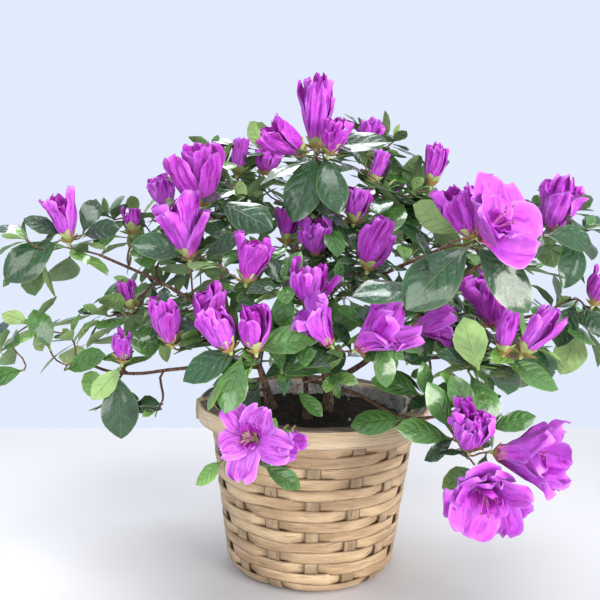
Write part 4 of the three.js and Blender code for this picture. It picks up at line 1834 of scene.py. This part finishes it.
FRONDS = (
    Frond("top", (0.45, 0.3, 0.45), (-0.3, -0.35, -0.9), 46),
    Frond("top", (0.5, 0.3, 0.45), (0.25, -0.5, -0.8), 42),
    Frond("top", (0.5, 0.5, 0.5), (0.9, -0.35, 0.1), 42),
    Frond("front_high_right", (0.5, 0.5, 0.45), (-0.75, -0.3, -0.6), 50),
    Frond("front_high_right", (0.5, 0.5, 0.45), (0.7, -0.2, -0.7), 48),
    Frond("front_high_right", (0.55, 0.7, 0.45), (0.55, 0.1, -0.6), 40),
    Frond("front_high_right", (0.5, 1.0, 0.5), (-0.9, -0.15, 0.4), 36, Tint.MID, True),
    Frond("front_high_right", (1.0, 0.85, 0.5), (1, 0, 0), 30),
    Frond("right_low", (0.25, 0.35, 0.3), (-0.35, -0.15, 0.95), 36, Tint.MID, True),
    Frond("right_low", (0.45, 0.5, 0.4), (0.9, -0.2, -0.35), 35, Tint.MID),
    Frond("right_low", (0.45, 0.5, 0.45), (0.95, 0.2, -0.2), 37),
    Frond("front_low_left", (0.45, 0.35, 0.5), (-0.25, -0.5, -0.85), 34, Tint.MID),
    Frond("front_low_left", (0.45, 0.4, 0.55), (-0.9, -0.3, -0.4), 37),
    Frond("front_low_left", (0.5, 0.4, 0.55), (0.95, -0.15, 0.25), 35, Tint.MID),
    Frond("left_low", (0.3, 0.5, 0.6), (0.1, -0.2, -0.95), 43),
    Frond("left_low", (0.35, 0.5, 0.65), (-0.6, -0.3, -0.75), 28, Tint.MID, True),
    Frond("left_tip", (0.55, 0.5, 0.45), (-0.8, -0.3, -0.5), 46),
    Frond("left_tip", (0.7, 0.55, 0.5), (0.2, 0.35, 0.9), 30),
    Frond("left_tip", (0.55, 0.5, 0.5), (-0.75, -0.4, 0.5), 26),
    Frond("left_tip", (0.7, 0.5, 0.5), (0.9, -0.35, 0.3), 28),
    Frond("upper_left", (0.55, 0.3, 0.35), (0.8, -0.55, -0.3), 44),
    Frond("left_shoulder", (0.5, 0.4, 0.3), (-0.85, -0.4, 0.3), 35),
    Frond("left_shoulder", (0.65, 0.4, 0.3), (0.8, -0.35, 0.5), 28),
    Frond("left_arching", (0.75, 0.5, 0.2), (0.8, -0.3, 0.45), 31, Tint.MID),
    Frond("left_arching", (0.65, 0.5, 0.4), (-0.4, 0.3, 0.85), 34, Tint.MID),
    Frond("left_arching", (0.45, 0.5, 0.2), (-0.9, -0.4, -0.15), 26, Tint.MID),
    Frond("right_tip", (0.35, 0.5, 0.55), (-0.45, -0.3, -0.85), 32),
    Frond("right_tip", (0.4, 0.5, 0.55), (0.35, -0.6, -0.7), 26),
    Frond("hanging_leaves", (0.4, 0.45, 0.2), (-0.9, -0.3, 0.35), 34, Tint.MID),
    Frond("hanging_leaves", (0.4, 0.45, 0.3), (-0.45, -0.15, 0.9), 32, Tint.MID),
    Frond("hanging_leaves", (0.55, 0.45, 0.4), (-0.4, 0, 0.9), 30, Tint.MID),
    Frond("hanging_leaves", (0.65, 0.4, 0.35), (0.85, -0.25, 0.45), 27, Tint.MID),
    Frond("hanging_leaves", (0.1, 0.95, 0.3), (-1, -0.15, 0.02), 33, Tint.MID),
    Frond("front_skirt", (0.05, 0.35, 0.05), (0.75, -0.35, -0.6), 22, Tint.MID),
    Frond("hanging_front", (0.25, 0.35, 0.35), (-0.75, -0.25, -0.6), 21, Tint.YOUNG),
    Frond("hanging_front", (0.6, 0.3, 0.3), (0.9, -0.25, -0.4), 25, Tint.MID),
)


# ---- the crown ----


@dataclass(frozen=True)
class Habit:
    """How the shoots of a mass of foliage grow.

    room is the space of each shoot in cubic centimetres, lift is the pull upwards, leaf is the usual
    length of a leaf in millimetres, and tints are the shares of the dark, middle and young leaves.
    ceiling is the share of the mass's height that leafy shoots keep below, floor is the height in
    millimetres that leaves keep above, and bloom is the share of shoots that end in a flower.
    """

    room: float = 27.0
    lift: float = 0.45
    leaf: float = 31.0
    tints: Triple = (0.68, 0.28, 0.04)
    ceiling: float = 0.58
    floor: float = 119.0
    bloom: float = 0.0


CENTRE = Habit(room=24, leaf=26, tints=(0.68, 0.27, 0.05))
LEFT_SIDE = Habit(room=36, leaf=33, tints=(0.45, 0.43, 0.12))
REAR = Habit(room=32, tints=(0.6, 0.34, 0.06), ceiling=0.85, bloom=0.5)
TOP = Habit(room=34, leaf=36, tints=(0.85, 0.13, 0.02))
SKIRT = Habit(room=24, lift=0.15, leaf=23, tints=(0.3, 0.5, 0.2), ceiling=0.9)
HABITS = {
    "top": Habit(room=60, leaf=34, tints=(0.85, 0.13, 0.02), ceiling=0.42),
    "upper_left": TOP,
    "upper_right": TOP,
    "upper_centre": CENTRE,
    "mid_right": CENTRE,
    "front_centre": CENTRE,
    "front_mid_left": CENTRE,
    "front_high_right": Habit(room=50, leaf=38, tints=(0.9, 0.1, 0.0), ceiling=0.4),
    "left_tip": Habit(room=60, leaf=34, tints=(0.6, 0.3, 0.1), ceiling=0.45),
    "left_arching": Habit(room=42, leaf=29, tints=(0.3, 0.4, 0.3), ceiling=0.9),
    "left_low": Habit(room=45, lift=0.1, leaf=30, tints=(0.3, 0.5, 0.2)),
    "left_middle": LEFT_SIDE,
    "left_back": Habit(room=36, leaf=31, bloom=0.0),
    "front_left": LEFT_SIDE,
    "front_low_left": Habit(room=32, lift=0.2, leaf=30, tints=(0.4, 0.45, 0.15)),
    "front_low_right": Habit(room=28, lift=0.2, leaf=26, tints=(0.5, 0.4, 0.1)),
    "front_skirt": Habit(room=50, lift=0.15, leaf=22, tints=(0.3, 0.5, 0.2), ceiling=0.9),
    "right_skirt": SKIRT,
    "right_tip": Habit(room=50, leaf=32, tints=(0.75, 0.25, 0.0)),
    "right_low": Habit(room=40, leaf=32, tints=(0.45, 0.45, 0.1)),
    "hanging_leaves": Habit(room=40, lift=0.0, leaf=30, tints=(0.25, 0.6, 0.15), ceiling=0.9, floor=95.0),
    "hanging_blooms": Habit(room=900, leaf=28, tints=(0.3, 0.55, 0.15), floor=60.0),
    "hanging_front": Habit(room=900, leaf=25, tints=(0.1, 0.6, 0.3), floor=70.0),
    "rear_skirt": SKIRT,
}
MASS_NAMES = sorted(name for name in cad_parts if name.startswith("mass_"))


@dataclass
class Shoot:
    """A tip that a twig grows to, with its leaves and perhaps a flower."""

    tip: Array
    heading: Array
    habit: Habit
    leaves: int
    flower: tuple[Form, float] | None = None


@dataclass
class Crown:
    """Shoots of every mass, the twigs that carry them, and their leaves and flowers."""

    limbs: Limbs
    rng: Rng
    heart: Array
    eye: Array
    foliage: Foliage
    blossom: Blossom
    reach: float = 0.74
    bloom_top: float = 0.262
    margin: float = 9 * MM
    leaf_gap: float = 13 * MM
    open_boughs: tuple[str, ...] = ("bough_left_long", "bough_left_arching", "bough_hanging_right")
    open_stems: tuple[str, ...] = ("stem_left", "stem_front")
    stalk: float = 2.5 * MM
    skeleton: Skeleton = field(default_factory=Skeleton)
    shoots: list[Shoot] = field(default_factory=list)
    fronds: list[Leaf] = field(default_factory=list)
    clear: list[tuple[Array, float]] = field(default_factory=list)

    def habit_of(self, mass: str) -> Habit:
        """The habit of a mass, by its name."""
        return HABITS.get(mass, REAR if "rear" in mass or "back" in mass else Habit())

    def placed(self, chosen: Bloom | Frond) -> tuple[Array, Array, float]:
        """Foot, direction and length of a listed flower or leaf."""
        low, high = corners_of("mass_" + chosen.mass)
        return low + (high - low) * np.array(chosen.at), unit(np.array(chosen.aim)), chosen.size * MM

    def place_blooms(self) -> None:
        """Turns the listed flowers into shoots, and keeps the view of each clear of leaves."""
        for bloom in BLOOMS:
            foot, aim, size = self.placed(bloom)
            flower = (bloom.form, size)
            habit = self.habit_of(bloom.mass)
            self.shoots.append(Shoot(foot - aim * self.stalk, aim, habit, bloom.leaves, flower))
            wide = bloom.form in (Form.OPEN, Form.BROAD, Form.STAR)
            for share in (0.3, 0.6, 0.9):
                self.clear.append((foot + aim * size * share, size * (0.45 if wide else 0.2)))
        for name in self.open_boughs:
            points = self.limbs.lines[name][0]
            self.clear += [(point, 3 * MM) for point in points[len(points) // 3 :: 2]]
        for name in self.open_stems:
            points = self.limbs.lines[name][0]
            self.clear += [(point, 2.5 * MM) for point in points[: len(points) // 2 : 2]]

    def place_fronds(self) -> None:
        """Adds the listed large leaves, and keeps the view of each clear of others."""
        for frond in FRONDS:
            foot, aim, size = self.placed(frond)
            front = unit(self.eye - foot) * (-1.0 if frond.turned else 0.8)
            face = square_to(front + UP * (-0.25 if frond.turned else 0.6), aim)
            width = size * self.rng.uniform(0.235, 0.285)
            self.fronds.append(Leaf(foot, aim, face, size, width, self.rng.uniform(0.2, 0.55), frond.tint))
            self.clear += [(foot + aim * size * share, size * 0.2) for share in (0.35, 0.7)]
        self.foliage.leaves += self.fronds
        self.clear_centres = np.array([centre for centre, _ in self.clear])
        self.clear_radii = np.array([radius for _, radius in self.clear])
        self.clear_rays = unit(self.eye - self.clear_centres)

    def fill_mass(self, name: str) -> None:
        """Spreads leafy shoots through one mass, each as far as it can be from the others.

        Args:
            name: The mass's node.
        """
        habit = self.habit_of(name.removeprefix("mass_"))
        low, high = corners_of(name)
        middle, half = (low + high) / 2, (high - low) / 2
        volume = 4 / 3 * math.pi * half.prod() / 1e-6
        ceiling = low[2] + (high - low)[2] * habit.ceiling
        for _ in range(round(volume / habit.room)):
            trial = unit(self.rng.normal(0, 1, (24, 3))) * self.rng.uniform(0.15, 1, (24, 1)) ** (1 / 3)
            spots = middle + trial * half * self.reach
            over = np.maximum(spots[:, 2] - ceiling, 0.0)
            spots[:, 2] = np.clip(spots[:, 2] - 2 * over, low[2] + 0.1 * (high - low)[2], ceiling)
            taken = np.array([shoot.tip for shoot in self.shoots])
            gaps = np.linalg.norm(spots[:, None] - taken[None], axis=2).min(1)
            tip = spots[int(np.argmax(gaps))]
            outward = unit((tip - self.heart) * [1, 1, 0.9])
            own = (tip - middle) / half
            aim = unit(outward + 0.5 * own + UP * habit.lift + self.rng.normal(0, 0.22, 3))
            flower = None
            if "rear" in name and tip[2] < self.bloom_top and self.rng.random() < habit.bloom:
                forms = (Form.BUD, Form.CUP, Form.RUFFLED, Form.FAN, Form.TALL, Form.PRONGS)
                form = forms[self.rng.integers(len(forms))]
                aim = unit(aim + UP * 0.8)
                flower = (form, self.rng.uniform(19, 31) * MM)
            self.shoots.append(Shoot(tip, aim, habit, int(self.rng.integers(6, 10)), flower))

    def fits(self, leaf: Leaf, floor: float) -> bool:
        """Whether a leaf keeps to its room.

        Args:
            leaf: The leaf.
            floor: Height in millimetres that it keeps above.

        Returns:
            Whether it is above its floor, out of the basket, in the plant's box and off the flowers.
        """
        share = np.array([[0.25], [0.5], [0.75], [1.0]])
        drop = leaf.length * leaf.droop * 0.4 * share**2
        spots = leaf.foot + leaf.along * leaf.length * share - leaf.face * drop
        inside = np.hypot(spots[:, 0], spots[:, 1]) < self.rim.x + 5 * MM
        low, high = (np.array(corner) for corner in cad_box)
        ahead = spots[:, None] - self.clear_centres
        along = np.sum(ahead * self.clear_rays, axis=-1)
        aside = np.linalg.norm(ahead - along[..., None] * self.clear_rays, axis=-1)
        faults = (
            spots[1:, 2] < floor * MM,
            inside & (spots[:, 2] < self.rim.z + 3 * MM),
            spots < low - self.margin,
            spots > high + self.margin,
            (along > -0.3 * self.clear_radii) & (aside < self.clear_radii + 1.5 * MM),
        )
        return not any(fault.any() for fault in faults)

    def add_leaf(
        self, shoot: Shoot, foot: Array, along: Array, heading: Array, share: float, tint: Tint
    ) -> None:
        """Adds one leaf where it fits, with its upper face turned up and towards the shoot's tip.

        Args:
            shoot: The shoot it is on.
            foot: Where it springs.
            along: The way it points.
            heading: The way its twig runs there.
            share: Its length, as a share of the usual one.
            tint: Its tint.
        """
        along = unit(along)
        size = shoot.habit.leaf * MM * share
        face = square_to(heading * 0.7 + UP * 0.75 + self.rng.normal(0, 0.18, 3), along)
        droop = self.rng.uniform(0.15, 0.75) + 0.25 * max(0.0, along[2])
        leaf = Leaf(foot, along, face, size, size * self.rng.uniform(0.215, 0.28), droop, tint)
        if self.fits(leaf, shoot.habit.floor):
            self.foliage.leaves.append(leaf)

    def any_tint(self, habit: Habit) -> Tint:
        """Draws a tint by its share."""
        return list(Tint)[self.rng.choice(3, p=habit.tints)]

    def rosette(self, shoot: Shoot, line: Array) -> None:
        """Adds the whorl of leaves at a shoot's tip and the smaller ones along its twig.

        Args:
            shoot: The shoot.
            line: Points along its twig.
        """
        rng, habit, ahead = self.rng, shoot.habit, shoot.heading
        start = rng.uniform(0, TURN)
        tint = self.any_tint(habit)
        low = 74 if shoot.flower else 44
        for k in range(shoot.leaves):
            share = k / max(1, shoot.leaves - 1)
            turn = start + GOLDEN * k + rng.normal(0, 0.15)
            lean = math.radians(low + (104 - low) * share + rng.normal(0, 7))
            along = ahead * math.cos(lean) + beside(ahead, turn) * math.sin(lean)
            foot = shoot.tip - ahead * (0.6 + 7.0 * share) * MM
            size = (0.68 + 0.45 * share) * rng.uniform(0.82, 1.2)
            own = tint if rng.random() < 0.75 else self.any_tint(habit)
            self.add_leaf(shoot, foot, along, ahead, size, own)
        reach = np.linalg.norm(line - line[-1], axis=1)
        for distance in np.arange(self.leaf_gap, min(reach[0] * 0.8, 42 * MM), self.leaf_gap * 1.1):
            spot = int(np.argmin(np.abs(reach - distance)))
            ahead = unit(line[min(spot + 1, len(line) - 1)] - line[max(spot - 1, 0)])
            along = ahead * 0.55 + beside(ahead, rng.uniform(0, TURN)) + UP * 0.15
            size = rng.uniform(0.6, 0.95)
            self.add_leaf(shoot, line[spot], along, ahead, size, self.any_tint(habit))
        if shoot.flower is None:
            self.leaf_bud(shoot)

    def leaf_bud(self, shoot: Shoot) -> None:
        """Adds the small upright leaves that close a leafy shoot.

        Args:
            shoot: The shoot.
        """
        for k in range(3):
            along = shoot.heading + beside(shoot.heading, GOLDEN * k) * self.rng.uniform(0.2, 0.55)
            size = self.rng.uniform(0.28, 0.5)
            tint = Tint.YOUNG if k == 0 and shoot.habit.tints[2] > 0.09 else Tint.MID
            self.add_leaf(shoot, shoot.tip, along, shoot.heading, size, tint)

    def build(self) -> None:
        """Grows every shoot, nearest first, and makes the pieces."""
        self.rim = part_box("basket_rim")[1]
        for points, radii in self.limbs.lines.values():
            self.skeleton.join(points, radii)
        self.place_blooms()
        self.place_fronds()
        for name in MASS_NAMES:
            self.fill_mass(name)
        self.shoots.sort(key=lambda shoot: float(np.linalg.norm(shoot.tip - self.heart)))
        leaves = self.foliage.leaves
        for shoot in self.shoots:
            twig = self.skeleton.grow(shoot.tip, shoot.heading, self.rng)
            before = len(leaves)
            self.rosette(shoot, twig[0])
            if len(leaves) - before > 3 or shoot.flower:
                self.skeleton.keep(*twig)
            else:
                del leaves[before:]
            if shoot.flower:
                self.blossom.add(shoot.tip + shoot.heading * self.stalk, shoot.heading, *shoot.flower)
        for leaf in self.fronds:
            self.skeleton.keep(*self.skeleton.grow(leaf.foot + leaf.along * 0.6 * MM, leaf.along, self.rng))
        keep(self.skeleton.lines.rods("twigs", TWIG, 6, 0.25, 600.0), "young_bark")
        self.foliage.build()
        self.blossom.build()
        log.info("crown: %d shoots, %d leaves", len(self.shoots), len(leaves))


# ---- light, floor and camera ----


@dataclass
class Studio:
    """Pale table, pale room light and the camera."""

    table_size: tuple[float, float] = (1.9, -1.45)
    table_back: float = 0.33
    table_slant: float = 0.078
    distance: float = 0.542
    height: float = 0.251
    sideways: float = -0.0108
    pitch: float = math.radians(7.0)
    roll: float = math.radians(1.3)
    lens: float = 48.0
    aim: Triple = (0.0, 0.0, 0.17)

    def table(self) -> None:
        """Makes the table top, whose back edge is the line behind the plant. Its colour is painted light and
        shade: lighter round a spot in front of the plant on the left, darker further away.
        """
        wide, near = self.table_size
        slant = wide * self.table_slant
        right, left = self.table_back + slant, self.table_back - slant
        corners = [[-wide, near], [wide, near], [wide, right], [-wide, left]]
        corners = np.pad(np.array(corners), ((0, 0), (0, 1)))
        points = np.concatenate([corners, corners - [0, 0, 0.02]])
        quads = np.array([[0, 1, 2, 3], [7, 6, 5, 4], [0, 4, 5, 1], [1, 5, 6, 2], [2, 6, 7, 3], [3, 7, 4, 0]])
        pool = Pool()
        pool.add(points[None], quads, 0, points[:, :2])
        shader = Shader("table_top", Roughness=0.9, Specular_IOR_Level=0.1)
        # Painted light and shade: the top is lighter near a spot in front of the plant on the left and darker
        # away from it, to even out the fall of the lamps.
        away = shader.node("ShaderNodeVectorMath", {0: shader.place(), 1: (0.25, 0.35, 0.0)})
        away = shader.node("ShaderNodeVectorMath", {0: away}, out="Value", operation="LENGTH")
        shade = shader.noise(shader.place(), 3.0) * 0.1 + shader.ramp(away, 0.1, 0.95)
        colour = shader.blend(shade, (0.775, 0.76, 0.775), (0.51, 0.497, 0.505))
        top = pool.piece("table_top", shader.finish(colour))
        top.data.shade_flat()

    def room(self) -> None:
        """Sets the pale room, a little brighter where it is seen than in the light it gives."""
        world = bpy.data.worlds.new("pale_room")
        bpy.context.scene.world = world
        world.use_nodes = True
        tree = world.node_tree
        seen = tree.nodes["Background"]
        given = tree.nodes.new("ShaderNodeBackground")
        mix = tree.nodes.new("ShaderNodeMixShader")
        ray = tree.nodes.new("ShaderNodeLightPath")
        for shade, strength in ((seen, 0.98), (given, 0.72)):
            shade.inputs["Color"].default_value = (0.775, 0.85, 1.0, 1.0)
            shade.inputs["Strength"].default_value = strength
        outputs = (ray.outputs["Is Camera Ray"], given.outputs[0], seen.outputs[0])
        for output, socket in zip(outputs, mix.inputs):
            tree.links.new(output, socket)
        tree.links.new(mix.outputs[0], tree.nodes["World Output"].inputs["Surface"])

    def lamps(self) -> None:
        """Sets the soft lamps, all aimed at the plant."""
        for name, place, size, power, colour in (
            ("key", (1.6, -1.5, 0.55), 1.2, 54.0, (1.0, 0.96, 0.91)),
            ("fill", (-0.7, -2.3, 0.4), 1.5, 30.0, (1.0, 0.98, 0.97)),
            ("sky", (-0.2, 1.0, 1.6), 1.1, 26.0, (0.96, 0.98, 1.0)),
            ("overhead", (0.25, -0.6, 1.6), 0.75, 10.0, (0.97, 0.99, 1.0)),
        ):
            data = bpy.data.lights.new(name, "AREA")
            data.size = size
            data.energy = power
            data.color = colour
            lamp = bpy.data.objects.new(name, data)
            lamp.location = place
            away = unit(np.array(place) - self.aim)
            lamp.rotation_euler = Matrix(basis_on(away).T.tolist()).to_euler()
            bpy.context.scene.collection.objects.link(lamp)

    def camera(self) -> None:
        """Sets the camera in front of the plant and a little above its middle."""
        data = bpy.data.cameras.new("camera")
        data.lens = self.lens
        data.sensor_width = 36.0
        camera = bpy.data.objects.new("camera", data)
        camera.location = (self.sideways, -self.distance, self.height)
        level = Euler((math.pi / 2 - self.pitch, 0.0, 0.0)).to_matrix()
        camera.rotation_euler = (level @ Matrix.Rotation(self.roll, 3, "Z")).to_euler()
        bpy.context.scene.collection.objects.link(camera)
        bpy.context.scene.camera = camera

    def build(self) -> None:
        """Makes the stage."""
        self.table()
        self.room()
        self.lamps()
        self.camera()
        bpy.context.scene.view_settings.view_transform = "Standard"


def main() -> None:
    """Builds the planter, the limbs and the crown, and reports each piece."""
    logging.basicConfig(level=logging.INFO, format="%(name)s %(message)s")
    basket_rng, liner_rng, soil_rng, leaf_rng, bloom_rng, crown_rng = map(np.random.default_rng, SEEDS)
    studio = Studio()
    studio.build()
    Basket(basket_rng).build()
    filling = Filling(liner_rng, soil_rng)
    filling.liner()
    filling.ground()
    limbs = Limbs()
    limbs.read()
    limbs.build()
    heart = np.array([0.0, 5 * MM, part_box("basket_rim")[1].z + 25 * MM])
    eye = np.array([studio.sideways, -studio.distance, studio.height])
    Crown(limbs, crown_rng, heart, eye, Foliage(leaf_rng), Blossom(bloom_rng)).build()


if __name__ == "__main__":
    main()
